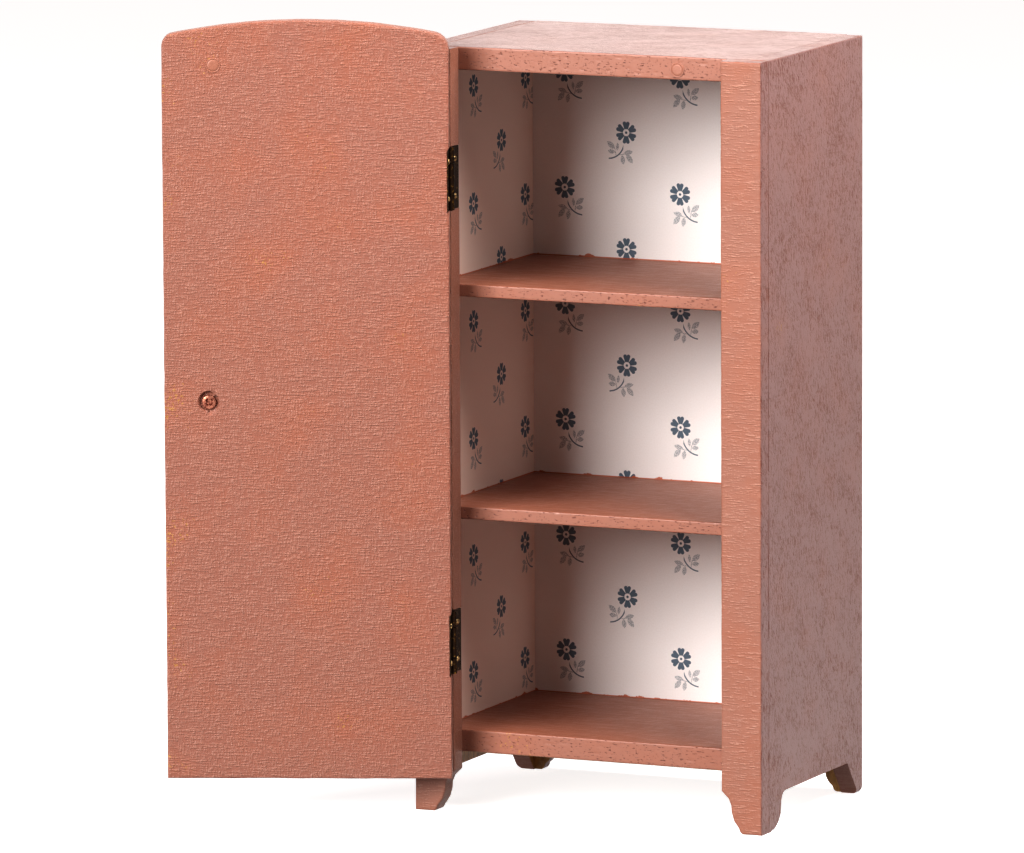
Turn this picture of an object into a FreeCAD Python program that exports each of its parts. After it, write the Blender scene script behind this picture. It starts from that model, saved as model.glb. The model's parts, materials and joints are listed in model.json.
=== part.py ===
import FreeCAD, Part
import math
import os

import Sketcher

# Miniature wardrobe for a dolls' house, in millimetres.
# Origin: centre of the cabinet's footprint, on the surface it stands on.
# +Z is up, the doorway faces -Y, and the door hangs on the left (-X) post.
# At rest the door stands open, swung round to the left of the cabinet.

SIZES = {
    # carcass
    "cabinet_width": 117.5,
    "cabinet_depth": 83.5,
    "cabinet_height": 240.0,
    "post_width": 13.5,
    "post_thickness": 6.1,
    "side_thickness": 5.7,
    "back_thickness": 4.0,
    "top_thickness": 7.2,
    "floor_thickness": 7.0,
    "floor_top": 25.4,
    "shelf_thickness": 4.0,
    "upper_shelf_top": 165.9,
    "lower_shelf_top": 96.0,
    "paper_thickness": 0.2,
    "edge_softness": 0.45,
    "rear_corner_radius": 2.0,
    # scrolled edge of a post's foot: how far it has drawn back from the straight edge, and where
    "foot_top": 13.2,
    "foot_chamfer_back": 0.9,
    "foot_chamfer_height": 12.3,
    "foot_cove_back": 3.2,
    "foot_cove_height": 8.8,
    "foot_cove_radius": 3.6,
    "foot_neck_back": 3.35,
    "foot_neck_height": 6.6,
    "foot_round_back": 5.7,
    "foot_round_height": 1.9,
    "foot_round_radius": 5.2,
    "foot_step_back": 5.95,
    "foot_step_height": 1.2,
    "foot_toe_back": 7.1,
    "foot_toe_radius": 1.7,
    "back_foot_inset": 1.4,
    # low edge of a side panel: distances from its front, then from its rear
    "side_cut_height": 11.3,
    "side_toe_end": 7.7,
    "side_step_end": 8.3,
    "side_step_height": 0.5,
    "side_round_end": 15.4,
    "side_round_height": 4.9,
    "side_round_radius": 7.6,
    "side_neck_end": 15.8,
    "side_neck_height": 7.9,
    "side_cove_end": 19.3,
    "side_cove_radius": 3.6,
    "rear_cut_end": 14.4,
    "rear_shoulder_in": 13.4,
    "rear_shoulder_height": 10.6,
    "rear_shoulder_radius": 1.0,
    "rear_sole_in": 5.0,
    "rear_toe_radius": 2.0,
    # door
    "door_thickness": 5.7,
    "door_side_gap": 0.85,
    "door_bottom": 12.2,
    "door_shoulder": 244.9,
    "door_arch_rise": 4.8,
    "door_free_corner": 2.8,
    "door_hinge_corner": 4.2,
    "door_open_angle": 158.0,
    # hinges
    "hinge_height": 19.5,
    "upper_hinge_middle": 199.7,
    "lower_hinge_middle": 54.2,
    "pin_radius": 0.5,
    "pin_clearance": 0.05,
    "pin_end": 0.25,
    "pin_end_radius": 0.2,
    "barrel_radius": 1.1,
    "barrel_standoff": 1.5,
    "leaf_thickness": 0.5,
    "leaf_width": 5.6,
    "leaf_half_gap": 0.6,
    "end_knuckle": 4.75,
    "knuckle_gap": 0.25,
    "mortise_margin": 0.15,
    # nails that hold the hinge leaves
    "nail_spacing": 11.7,
    "nail_shank_radius": 0.35,
    "nail_length": 4.5,
    "nail_head_radius": 0.95,
    "nail_head_height": 0.35,
    # magnets
    "magnet_radius": 2.25,
    "magnet_thickness": 2.0,
    "magnet_play": 0.08,
    "magnet_rim_radius": 0.2,
    "magnet_across": 28.4,
    "magnet_height": 235.8,
    # knob and its screw
    "knob_from_hinge_edge": 74.9,
    "knob_up": 130.7,
    "knob_base_radius": 3.4,
    "knob_base_thickness": 0.9,
    "knob_neck_radius": 2.1,
    "knob_head_radius": 4.6,
    "knob_length": 10.5,
    "knob_neck_out": 2.8,
    "knob_neck_cove": 1.8,
    "knob_flare_out": 6.6,
    "knob_flare_cove": 4.6,
    "knob_rim_inset": 0.4,
    "knob_rim_out": 7.6,
    "knob_rim_radius": 0.9,
    "screw_radius": 1.25,
    "screw_head_radius": 2.25,
    "screw_head_height": 1.1,
    "screw_head_rim": 0.4,
    "screw_tip_taper": 0.4,
    "screw_tip_length": 0.6,
    "screw_grip": 5.5,
    "screw_end_play": 0.3,
    "screw_hole_play": 0.15,
    "counterbore_radius": 3.05,
    "counterbore_depth": 1.4,
    "cross_slot": 0.6,
    "cross_reach": 1.35,
    "cross_depth": 0.8,
}

PLANE_ROLES = {"XY": "XY_Plane", "XZ": "XZ_Plane", "YZ": "YZ_Plane"}

SLACK = 0.01             # two levels closer than this are the same
LONG_EDGE = 50.0         # only a board's own long edges are longer than this
SHORT_EDGE = 10.0        # the steps of the scrolled feet and mortise ends are shorter than this
LEAST_CUT = 0.1          # cubic millimetres that any real cut removes
OVERSHOOT = 1.0          # how far a boring tool runs past the metal at each end
CORNER_RADIUS_RATIO = 1.12    # a door corner's radius over how far it reaches along the edge
RECESS_START = 0.2       # the cross recess is cut from this far above the screw's crown


class Length:
    """A length in millimetres, together with the sheet expression that gives it."""

    def __init__(self, value, text):
        self.value = float(value)
        self.text = text

    def __add__(self, other):
        other = as_length(other)
        return Length(self.value + other.value, f"({self.text} + {other.text})")

    def __sub__(self, other):
        other = as_length(other)
        return Length(self.value - other.value, f"({self.text} - {other.text})")

    def __neg__(self):
        return Length(-self.value, f"(0 - {self.text})")

    def __mul__(self, factor):
        return Length(self.value * factor, f"({self.text} * {factor:g})")

    def __truediv__(self, factor):
        return Length(self.value / factor, f"({self.text} / {factor:g})")


def as_length(number):
    """The number itself if it is a Length, else a constant Length."""
    if isinstance(number, Length):
        return number
    return Length(number, f"({float(number):g})")


def size(name):
    """The named size from the sheet."""
    return Length(SIZES[name], f"Sizes.{name}")


def make_sheet(document):
    """The driving dimensions, one row each: name in column A, aliased number in column B."""
    sheet = document.addObject("Spreadsheet::Sheet", "Sizes")
    for row, (name, value) in enumerate(SIZES.items(), start=1):
        sheet.set(f"A{row}", name)
        sheet.set(f"B{row}", str(value))
        sheet.setAlias(f"B{row}", name)
    document.recompute()
    return sheet


def bind(thing, **lengths):
    """Set each named property and tie it to its sheet expression."""
    for name, length in lengths.items():
        length = as_length(length)
        setattr(thing, name, length.value)
        thing.setExpression(name, length.text)


def put(thing, x=0, y=0, z=0, turn=None):
    """Place a sub-part at x, y, z, turned clockwise about Z by the length-like angle turn."""
    x, y, z = as_length(x), as_length(y), as_length(z)
    angle = -turn.value if turn else 0.0
    rotation = FreeCAD.Rotation(FreeCAD.Vector(0, 0, 1), angle)
    thing.Placement = FreeCAD.Placement(FreeCAD.Vector(x.value, y.value, z.value), rotation)
    thing.setExpression("Placement.Base.x", x.text)
    thing.setExpression("Placement.Base.y", y.text)
    thing.setExpression("Placement.Base.z", z.text)
    if turn:
        thing.setExpression("Placement.Rotation.Angle", turn.text)
        thing.Placement.Rotation.Axis = FreeCAD.Vector(0, 0, -1)


def origin_plane(body, plane):
    """One of the body's own origin planes."""
    role = PLANE_ROLES[plane]
    return next(item for item in body.Origin.OriginFeatures if item.Role == role)


def new_sketch(body, plane, name):
    sketch = body.newObject("Sketcher::SketchObject", name)
    sketch.AttachmentSupport = (origin_plane(body, plane), [""])
    sketch.MapMode = "FlatFace"
    return sketch


def tie(sketch, kind, *where, length):
    """Add a dimension to the sketch and drive it from the sheet."""
    index = sketch.addConstraint(Sketcher.Constraint(kind, *where, length.value))
    sketch.setExpression(f"Constraints[{index}]", length.text)


def arc_between(start, end, radius, bend):
    """The short arc from start to end; bend is 1 if it turns left as it runs, -1 if right."""
    chord = end - start
    middle = (start + end) * 0.5
    left = FreeCAD.Vector(-chord.y, chord.x, 0).normalize()
    half = chord.Length / 2
    rise = radius - math.sqrt(radius * radius - half * half)
    return Part.Arc(start, middle - left * rise * bend, end)


def closed_outline(sketch, corners):
    """A closed loop through the corners, each (x, y) or (x, y, radius, bend).

    A corner with a radius is reached by an arc of that radius from the corner before it;
    the others are reached by straight lines. Every corner is dimensioned from the origin.
    """
    spots = [(as_length(corner[0]), as_length(corner[1])) for corner in corners]
    points = [FreeCAD.Vector(x.value, y.value, 0) for x, y in spots]
    pieces = []
    for index, corner in enumerate(corners):
        start, end = points[index - 1], points[index]
        if len(corner) == 2:
            pieces.append((Part.LineSegment(start, end), False))
        else:
            radius, bend = as_length(corner[2]), corner[3]
            # an arc is stored running anticlockwise, so a right-hand bend swaps its ends
            pieces.append((arc_between(start, end, radius.value, bend), bend < 0))
    numbers = [sketch.addGeometry(piece, False) for piece, swapped in pieces]
    ends = [(2, 1) if swapped else (1, 2) for piece, swapped in pieces]
    for index, number in enumerate(numbers):
        follower = (index + 1) % len(numbers)
        sketch.addConstraint(
            Sketcher.Constraint(
                "Coincident", number, ends[index][1], numbers[follower], ends[follower][0]
            )
        )
        x, y = spots[index]
        tie(sketch, "DistanceX", -1, 1, number, ends[index][1], length=x)
        tie(sketch, "DistanceY", -1, 1, number, ends[index][1], length=y)
        if len(corners[index]) > 2:
            tie(sketch, "Radius", number, length=as_length(corners[index][2]))


def circle(sketch, x, y, radius):
    """A full circle with its centre and radius dimensioned."""
    x, y, radius = as_length(x), as_length(y), as_length(radius)
    centre = FreeCAD.Vector(x.value, y.value, 0)
    number = sketch.addGeometry(Part.Circle(centre, FreeCAD.Vector(0, 0, 1), radius.value), False)
    tie(sketch, "DistanceX", -1, 1, number, 3, length=x)
    tie(sketch, "DistanceY", -1, 1, number, 3, length=y)
    tie(sketch, "Radius", number, length=radius)


def rectangle(left, bottom, right, top):
    return [(left, bottom), (right, bottom), (right, top), (left, top)]


def shift_sketch(sketch, x=0, y=0, z=0):
    """Move a sketch along its own axes, tied to the sheet."""
    x, y, z = as_length(x), as_length(y), as_length(z)
    place = FreeCAD.Vector(x.value, y.value, z.value)
    sketch.AttachmentOffset = FreeCAD.Placement(place, FreeCAD.Rotation())
    sketch.setExpression("AttachmentOffset.Base.x", x.text)
    sketch.setExpression("AttachmentOffset.Base.y", y.text)
    sketch.setExpression("AttachmentOffset.Base.z", z.text)


def padded_body(document, name, plane, corners, thickness, start=0):
    """A board cut to the outline drawn on the plane, thickened from start along +X, +Y or +Z."""
    body = document.addObject("PartDesign::Body", name)
    sketch = new_sketch(body, plane, f"{name}_outline")
    start = as_length(start)
    shift_sketch(sketch, z=-start if plane == "XZ" else start)
    closed_outline(sketch, corners)
    pad = body.newObject("PartDesign::Pad", f"{name}_pad")
    pad.Profile = sketch
    bind(pad, Length=thickness)
    pad.Reversed = plane == "XZ"    # that plane's normal is -Y, so the pad is turned to +Y
    document.recompute()
    return body


def soften(body, radius, wanted):
    """Round the body's edges for which wanted(edge box) is true."""
    base = body.Tip
    names = [
        f"Edge{number}"
        for number, edge in enumerate(base.Shape.Edges, start=1)
        if wanted(edge.BoundBox)
    ]
    fillet = body.newObject("PartDesign::Fillet", f"{body.Name}_softened")
    fillet.Base = (base, names)
    bind(fillet, Radius=radius)
    body.Document.recompute()
    return fillet


def bore(body, name, circles, mouth, depth, towards=1):
    """Bore round holes along the body's Y, from the level y = mouth towards +Y (1) or -Y (-1)."""
    sketch = new_sketch(body, "XZ", f"{name}_circles")
    shift_sketch(sketch, z=-mouth)
    for x, z, radius in circles:
        circle(sketch, x, z, radius)
    cut_pocket(body, name, sketch, depth, towards)


def cut_pocket(body, name, sketch, depth, towards):
    """Cut the sketch's shape out of the body, along +Y (1) or -Y (-1), and check that it cut."""
    before = body.Shape.Volume
    pocket = body.newObject("PartDesign::Pocket", f"{name}_cut")
    pocket.Profile = sketch
    bind(pocket, Length=depth)
    pocket.Reversed = towards < 0
    body.Document.recompute()
    if before - pocket.Shape.Volume < LEAST_CUT:
        raise RuntimeError(f"{name} removed nothing")


def flat(low, high, level, slack=1e-4):
    """Whether a box side from low to high lies at the level."""
    return abs(low - level) < slack and abs(high - level) < slack


# Derived places, shared by several sub-parts.

half_width = size("cabinet_width") / 2
half_depth = size("cabinet_depth") / 2
height = size("cabinet_height")
front = -half_depth
board_front = front + size("post_thickness")
inside_back = half_depth - size("back_thickness")
inside_half = half_width - size("side_thickness")
post_edge = half_width - size("post_width")
ceiling = height - size("top_thickness")
floor_bottom = size("floor_top") - size("floor_thickness")

# hinge line: the pins stand in front of the posts, between post edge and door edge
pin_x = -post_edge + size("leaf_half_gap")
pin_y = front - size("barrel_standoff")

# in the door's own frame (origin on the hinge line, closed door along +X, inside towards +Y)
door_edge = size("door_side_gap") - size("leaf_half_gap")
door_width = post_edge * 2 - size("door_side_gap") * 2
door_far = door_edge + door_width
door_outer = size("barrel_standoff")
door_inner = door_outer + size("door_thickness")
leaf_back = size("leaf_half_gap") + size("leaf_thickness")
screw_x = door_edge + size("knob_from_hinge_edge")
magnet_x = size("magnet_across") - pin_x

HINGES = {"upper": size("upper_hinge_middle"), "lower": size("lower_hinge_middle")}


def ogee_foot(edge, side):
    """The scrolled inner edge of a foot, from its top down to the sole.

    edge is where the straight inner edge stands; side is 1 if the foot lies on its +X side
    and -1 if it lies on its -X side. A chamfer, a cove, a short straight, a round, a step
    and a small toe follow one another.
    """
    def out(name):
        return edge + size(name) * side

    return [
        (out("foot_chamfer_back"), size("foot_chamfer_height")),
        (out("foot_cove_back"), size("foot_cove_height"), size("foot_cove_radius"), -side),
        (out("foot_neck_back"), size("foot_neck_height")),
        (out("foot_round_back"), size("foot_round_height"), size("foot_round_radius"), side),
        (out("foot_step_back"), size("foot_step_height")),
        (out("foot_toe_back"), as_length(0), size("foot_toe_radius"), side),
    ]


def hinge_notches(edge, depth):
    """Corners of the hinge mortises along an upright edge, from the top notch down."""
    half = size("hinge_height") / 2 + size("mortise_margin")
    corners = []
    for middle in HINGES.values():
        corners.append((edge, middle + half))
        corners.append((edge + depth, middle + half))
        corners.append((edge + depth, middle - half))
        corners.append((edge, middle - half))
    return corners


def make_post(document, name, side):
    """Front post with its scrolled foot; the left one (side -1) is mortised for the hinges."""
    outer = half_width * side
    edge = post_edge * side
    corners = [(outer, as_length(0)), (outer, height), (edge, height)]
    if side < 0:
        corners += hinge_notches(edge, -size("leaf_thickness"))
    corners.append((edge, size("foot_top")))
    corners += ogee_foot(edge, side)
    body = padded_body(document, name, "XZ", corners, size("post_thickness"))

    def outline_of_front(box):
        upright = box.ZLength > SHORT_EDGE and box.XLength < SLACK and box.YLength < SLACK
        topmost = flat(box.ZMin, box.ZMax, height.value)
        on_front = flat(box.YMin, box.YMax, 0) and (upright or topmost)
        outside = upright and flat(box.XMin, box.XMax, outer.value)
        return on_front or outside

    soften(body, size("edge_softness"), outline_of_front)
    put(body, y=front)
    return body


def make_side(document, name, side):
    """Side panel, full height, with a low cut-out that leaves a front and a rear foot."""
    ground = as_length(0)
    line = size("side_cut_height")
    toe = size("rear_toe_radius")
    corners = [
        (board_front, ground),
        (front + size("side_toe_end"), ground),
        (front + size("side_step_end"), size("side_step_height")),
        (front + size("side_round_end"), size("side_round_height"), size("side_round_radius"), 1),
        (front + size("side_neck_end"), size("side_neck_height")),
        (front + size("side_cove_end"), line, size("side_cove_radius"), -1),
        (half_depth - size("rear_cut_end"), line),
        (
            half_depth - size("rear_shoulder_in"), size("rear_shoulder_height"),
            size("rear_shoulder_radius"), -1,
        ),
        (half_depth - size("rear_sole_in"), ground),
        (half_depth - toe, ground),
        (half_depth, toe, toe, 1),
        (half_depth, height),
        (board_front, height),
    ]
    body = padded_body(document, name, "YZ", corners, size("side_thickness"))
    outer = size("side_thickness").value if side > 0 else 0.0

    def on_outer_face(box):
        return flat(box.XMin, box.XMax, outer)

    def upper_edge(box):
        level = flat(box.ZMin, box.ZMax, height.value) and box.YLength > LONG_EDGE
        return level and on_outer_face(box)

    def rear_corner(box):
        upright = flat(box.YMin, box.YMax, half_depth.value) and box.ZLength > LONG_EDGE
        return upright and on_outer_face(box)

    soften(body, size("edge_softness"), upper_edge)
    soften(body, size("rear_corner_radius"), rear_corner)
    put(body, x=inside_half if side > 0 else -half_width)
    return body


def make_back(document):
    """Back panel between the sides, from under the top board down to two scrolled feet."""
    foot_edge = post_edge - size("back_foot_inset")
    left_foot = ogee_foot(-foot_edge, -1)
    right_foot = ogee_foot(foot_edge, 1)
    # up the left foot's scroll, across, and down the right foot's
    climb = [(-inside_half, as_length(0)), left_foot[-1][:2]]
    for lower, upper in zip(left_foot[::-1], left_foot[-2::-1]):
        if len(lower) > 2:
            climb.append((upper[0], upper[1], lower[2], -lower[3]))
        else:
            climb.append(upper[:2])
    corners = climb + right_foot
    corners += [(inside_half, as_length(0)), (inside_half, ceiling), (-inside_half, ceiling)]
    body = padded_body(document, "back_panel", "XZ", corners, size("back_thickness"))
    put(body, y=inside_back)
    return body


def make_board(document, name, half_across, back, bottom, thickness):
    """Horizontal board from the posts' back plane to the given back, with a soft front edge."""
    corners = rectangle(-half_across, board_front, half_across, back)
    body = padded_body(document, name, "XY", corners, thickness)

    def front_edges(box):
        return flat(box.YMin, box.YMax, board_front.value) and box.XLength > LONG_EDGE

    soften(body, size("edge_softness"), front_edges)
    put(body, z=bottom)
    return body


def make_top(document):
    """Top board between the side panels, bored in front for the catch magnet."""
    board = make_board(
        document, "top_board", inside_half, half_depth, ceiling, size("top_thickness")
    )
    hole = (
        size("magnet_across"),
        size("magnet_height") - ceiling,
        size("magnet_radius") + size("magnet_play"),
    )
    bore(board, "magnet_hole", [hole], board_front, size("magnet_thickness"))
    return board


def make_paper(document, name, left, right, near, far):
    """A sheet of wallpaper glued to a wall between the floor and the ceiling."""
    sheet = document.addObject("Part::Box", name)
    bind(sheet, Length=right - left, Width=far - near, Height=ceiling - size("floor_top"))
    put(sheet, x=left, y=near, z=size("floor_top"))
    return sheet


def make_door(document):
    """Door panel in its own frame: arched top, hinge mortises, bores for magnet and screw."""
    bottom = size("door_bottom")
    shoulder = size("door_shoulder")
    rise = size("door_arch_rise")
    half = door_width / 2
    arch_radius = cap_radius(half, rise)

    def arch_drop(distance):
        """How far the arch lies below its crown at a distance from the middle."""
        reach = half - distance
        value = arch_radius.value - math.sqrt(arch_radius.value ** 2 - reach.value ** 2)
        text = f"({arch_radius.text} - sqrt({arch_radius.text}^2 - {reach.text}^2))"
        return Length(value, text)

    free = size("door_free_corner")
    hinge = size("door_hinge_corner")
    crown = shoulder + rise
    corners = [
        (door_edge, bottom),
        (door_far, bottom),
        (door_far, shoulder - free),
        (door_far - free, crown - arch_drop(free), free * CORNER_RADIUS_RATIO, 1),
        (door_edge + hinge, crown - arch_drop(hinge), arch_radius, 1),
        (door_edge, shoulder - hinge, hinge * CORNER_RADIUS_RATIO, 1),
    ]
    corners += hinge_notches(door_edge, leaf_back - door_edge)
    body = padded_body(
        document, "door_panel", "XZ", corners, size("door_thickness"), door_outer
    )

    def rim(box):
        on_face = flat(box.YMin, box.YMax, door_outer.value) or flat(
            box.YMin, box.YMax, door_inner.value
        )
        short = box.ZLength < size("hinge_height").value + OVERSHOOT
        in_mortise = short and box.XMax < leaf_back.value + SLACK
        return on_face and not in_mortise

    soften(body, size("edge_softness"), rim)
    magnet = (magnet_x, size("magnet_height"), size("magnet_radius") + size("magnet_play"))
    counterbore = (screw_x, size("knob_up"), size("counterbore_radius"))
    clearance = (screw_x, size("knob_up"), size("screw_radius") + size("screw_hole_play"))
    bore(body, "magnet_hole", [magnet], door_inner, size("magnet_thickness"), -1)
    bore(body, "counterbore", [counterbore], door_inner, size("counterbore_depth"), -1)
    bore(body, "screw_hole", [clearance], door_inner, size("door_thickness"), -1)
    hang(body)
    return body


def hang(thing, up=0):
    """Hang a piece of the door on the hinge line, turned to where the open door stands."""
    put(thing, x=pin_x, y=pin_y, z=up, turn=size("door_open_angle"))


def turned_body(document, name, corners, x=0, z=0):
    """A turned piece: the outline of (radius, y) corners spun about the Y line through x, z."""
    body = document.addObject("PartDesign::Body", name)
    sketch = new_sketch(body, "XY", f"{name}_profile")
    shift_sketch(sketch, x=x, z=z)
    closed_outline(sketch, corners)
    spin = body.newObject("PartDesign::Revolution", f"{name}_turning")
    spin.Profile = sketch
    spin.ReferenceAxis = (sketch, ["V_Axis"])
    spin.Angle = 360
    document.recompute()
    return body


def cap_radius(reach, rise):
    """Radius of the circle whose cap is rise high over a half chord of reach."""
    reach, rise = as_length(reach), as_length(rise)
    return Length(
        (reach.value ** 2 + rise.value ** 2) / (2 * rise.value),
        f"(({reach.text} * {reach.text} + {rise.text} * {rise.text}) / (2 * {rise.text}))",
    )


def make_magnet(document, name, x, face, towards):
    """Disc magnet with its face at y = face, sunk into the wood on the side given by towards."""
    radius = size("magnet_radius")
    deep = face + size("magnet_thickness") * towards
    round_off = size("magnet_rim_radius")
    corners = [
        (0, face),
        (radius - round_off, face),
        (radius, face + round_off * towards, round_off, towards),
        (radius, deep),
        (0, deep),
    ]
    return turned_body(document, name, corners, x, size("magnet_height"))


def make_knob(document):
    """Turned pull on the outside of the door: foot disc, neck, flared head with a low dome."""
    base = size("knob_base_radius")
    neck = size("knob_neck_radius")
    head = size("knob_head_radius")
    grip = size("screw_grip") + size("screw_end_play")
    rim = head - size("knob_rim_inset")
    rim_out = size("knob_rim_out")
    dome = cap_radius(rim, size("knob_length") - rim_out)

    def out(distance):
        return door_outer - distance

    corners = [
        (0, out(grip)),
        (size("screw_radius"), out(grip)),
        (size("screw_radius"), out(0)),
        (base, out(0)),
        (base, out(size("knob_base_thickness"))),
        (neck, out(size("knob_neck_out")), size("knob_neck_cove"), 1),
        (head, out(size("knob_flare_out")), size("knob_flare_cove"), 1),
        (rim, out(rim_out), size("knob_rim_radius"), -1),
        (0, out(size("knob_length")), dome, -1),
    ]
    body = turned_body(document, "door_knob", corners, screw_x, size("knob_up"))
    hang(body)
    return body


def make_screw(document):
    """Pan-head screw from inside the door into the knob, with a cross recess."""
    seat = door_inner - size("counterbore_depth")
    face = seat + size("screw_head_height")
    tip = door_outer - size("screw_grip")
    shank = size("screw_radius")
    head = size("screw_head_radius")
    rim = seat + size("screw_head_rim")
    corners = [
        (0, tip),
        (shank - size("screw_tip_taper"), tip),
        (shank, tip + size("screw_tip_length")),
        (shank, seat),
        (head, seat),
        (head, rim),
        (0, face, cap_radius(head, face - rim), 1),
    ]
    body = turned_body(document, "knob_screw", corners, screw_x, size("knob_up"))
    slot = size("cross_slot") / 2
    reach = size("cross_reach")
    cross = []
    for across, along in ((1, 1), (-1, 1), (-1, -1), (1, -1)):
        arm_end = (reach * across, slot * along)
        inner_corner = (slot * across, slot * along)
        arm_side = (slot * across, reach * along)
        quarter = [arm_end, inner_corner, arm_side]
        cross += quarter if across * along > 0 else quarter[::-1]
    sketch = new_sketch(body, "XZ", "cross_recess")
    shift_sketch(sketch, x=screw_x, y=size("knob_up"), z=-(face + RECESS_START))
    closed_outline(sketch, cross)
    cut_pocket(body, "cross", sketch, size("cross_depth") + RECESS_START, -1)
    hang(body)
    return body


def make_box(document, name, low, high):
    """Box primitive between two corners."""
    box = document.addObject("Part::Box", name)
    spans = [as_length(b) - as_length(a) for a, b in zip(low, high)]
    bind(box, Length=spans[0], Width=spans[1], Height=spans[2])
    put(box, *low)
    return box


def make_rod(document, name, radius, low, high):
    """Upright rod on the hinge line between two heights."""
    rod = document.addObject("Part::Cylinder", name)
    low, high = as_length(low), as_length(high)
    bind(rod, Radius=radius, Height=high - low)
    put(rod, z=low)
    return rod


def fuse(document, name, pieces):
    joined = document.addObject("Part::MultiFuse", name)
    joined.Shapes = pieces
    return joined


def nail_heights():
    """Heights of a leaf's two nails above the hinge's lower end."""
    middle = size("hinge_height") / 2
    half = size("nail_spacing") / 2
    return [middle - half, middle + half]


nail_in_leaf = size("barrel_standoff") + size("leaf_width") / 2


def lying_cylinder(document, name, radius, x, length, z, side):
    """Cylinder along X at a nail's place on a leaf, from x towards the wood on that side."""
    rod = document.addObject("Part::Cylinder", name)
    bind(rod, Radius=radius, Height=length)
    put(rod, x=x, y=nail_in_leaf, z=z)
    rod.Placement.Rotation = FreeCAD.Rotation(FreeCAD.Vector(0, 1, 0), 90 * side)
    return rod


def make_leaf(document, name, side, knuckles, bore_radius):
    """Hinge leaf: plate against the wood on one side, tabs and knuckles round the pin, nail holes."""
    gap = size("leaf_half_gap")
    near, far = gap * side, leaf_back * side
    left, right = (near, far) if side > 0 else (far, near)
    standoff = size("barrel_standoff")
    tall = size("hinge_height")
    plate = make_box(
        document, f"{name}_plate", (left, standoff, 0), (right, standoff + size("leaf_width"), tall)
    )
    pieces = [plate]
    for number, (low, high) in enumerate(knuckles, start=1):
        tab = make_box(document, f"{name}_tab_{number}", (left, 0, low), (right, standoff, high))
        knuckle = make_rod(
            document, f"{name}_knuckle_{number}", size("barrel_radius"), low, high
        )
        pieces += [tab, knuckle]
    solid = fuse(document, f"{name}_blank", pieces)
    tools = [make_rod(document, f"{name}_bore", bore_radius, -OVERSHOOT, tall + OVERSHOOT)]
    for number, z in enumerate(nail_heights(), start=1):
        tools.append(
            lying_cylinder(
                document, f"{name}_nail_hole_{number}", size("nail_shank_radius"),
                0, size("leaf_width"), z, side,
            )
        )
    holes = fuse(document, f"{name}_holes", tools)
    leaf = document.addObject("Part::Cut", name)
    leaf.Base = solid
    leaf.Tool = holes
    return leaf


def make_nails(document, name, side):
    """A leaf's two nails: domed heads on the leaf's face, shanks into the wood."""
    rise = size("nail_head_height")
    ball = cap_radius(size("nail_head_radius"), rise)
    pieces = []
    for number, z in enumerate(nail_heights(), start=1):
        shank = lying_cylinder(
            document, f"{name}_shank_{number}", size("nail_shank_radius"),
            size("leaf_half_gap") * side, size("nail_length"), z, side,
        )
        dome = document.addObject("Part::Sphere", f"{name}_dome_{number}")
        bind(dome, Radius=ball)
        dome.Angle1 = math.degrees(math.asin(1 - rise.value / ball.value))
        centre = size("leaf_half_gap") + ball - rise
        put(dome, x=centre * side, y=nail_in_leaf, z=z)
        dome.Placement.Rotation = FreeCAD.Rotation(FreeCAD.Vector(0, 1, 0), -90 * side)
        pieces += [shank, dome]
    return fuse(document, name, pieces)


def make_pin(document, name):
    """Hinge pin with softly rounded ends that stand just out of the barrel."""
    end = size("pin_end")
    rod = make_rod(document, f"{name}_rod", size("pin_radius"), -end, size("hinge_height") + end)
    document.recompute()
    pin = document.addObject("Part::Fillet", name)
    pin.Base = rod
    softness = SIZES["pin_end_radius"]
    pin.Edges = [
        (number, softness, softness)
        for number, edge in enumerate(rod.Shape.Edges, start=1)
        if edge.Closed
    ]
    return pin


def make_hinge(document, name, middle):
    """A three-knuckle butt hinge: two leaves, the pin and two pairs of nails."""
    bottom = middle - size("hinge_height") / 2
    tall = size("hinge_height")
    end = size("end_knuckle")
    gap = size("knuckle_gap")
    outer_knuckles = [(0, end), (tall - end, tall)]
    middle_knuckle = [(end + gap, tall - end - gap)]
    frame_leaf = make_leaf(
        document, f"{name}_hinge_frame_leaf", -1, outer_knuckles, size("pin_radius")
    )
    door_leaf = make_leaf(
        document, f"{name}_hinge_door_leaf", 1, middle_knuckle,
        size("pin_radius") + size("pin_clearance"),
    )
    frame_nails = make_nails(document, f"{name}_hinge_frame_nails", -1)
    door_nails = make_nails(document, f"{name}_hinge_door_nails", 1)
    pin = make_pin(document, f"{name}_hinge_pin")
    for piece in (frame_leaf, frame_nails, pin):
        put(piece, x=pin_x, y=pin_y, z=bottom)
    for piece in (door_leaf, door_nails):
        hang(piece, bottom)
    return [frame_leaf, door_leaf, frame_nails, door_nails, pin]


def make_carcass(document):
    shelf = size("shelf_thickness")
    papered_half = inside_half - size("paper_thickness")
    papered_back = inside_back - size("paper_thickness")
    pieces = [
        make_post(document, "left_post", -1),
        make_post(document, "right_post", 1),
        make_side(document, "left_side_panel", -1),
        make_side(document, "right_side_panel", 1),
        make_back(document),
        make_top(document),
        make_board(
            document, "floor_board", inside_half, inside_back, floor_bottom,
            size("floor_thickness"),
        ),
        make_paper(
            document, "back_wallpaper", -inside_half, inside_half, papered_back, inside_back
        ),
        make_paper(
            document, "left_wallpaper", -inside_half, -papered_half, board_front, papered_back
        ),
        make_paper(
            document, "right_wallpaper", papered_half, inside_half, board_front, papered_back
        ),
        make_magnet(document, "frame_magnet", size("magnet_across"), board_front, 1),
    ]
    for name in ("upper_shelf", "lower_shelf"):
        bottom = size(f"{name}_top") - shelf
        pieces.append(make_board(document, name, papered_half, papered_back, bottom, shelf))
    return pieces


def make_door_set(document):
    magnet = make_magnet(document, "door_magnet", magnet_x, door_inner, -1)
    hang(magnet)
    return [make_door(document), magnet, make_knob(document), make_screw(document)]


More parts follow.
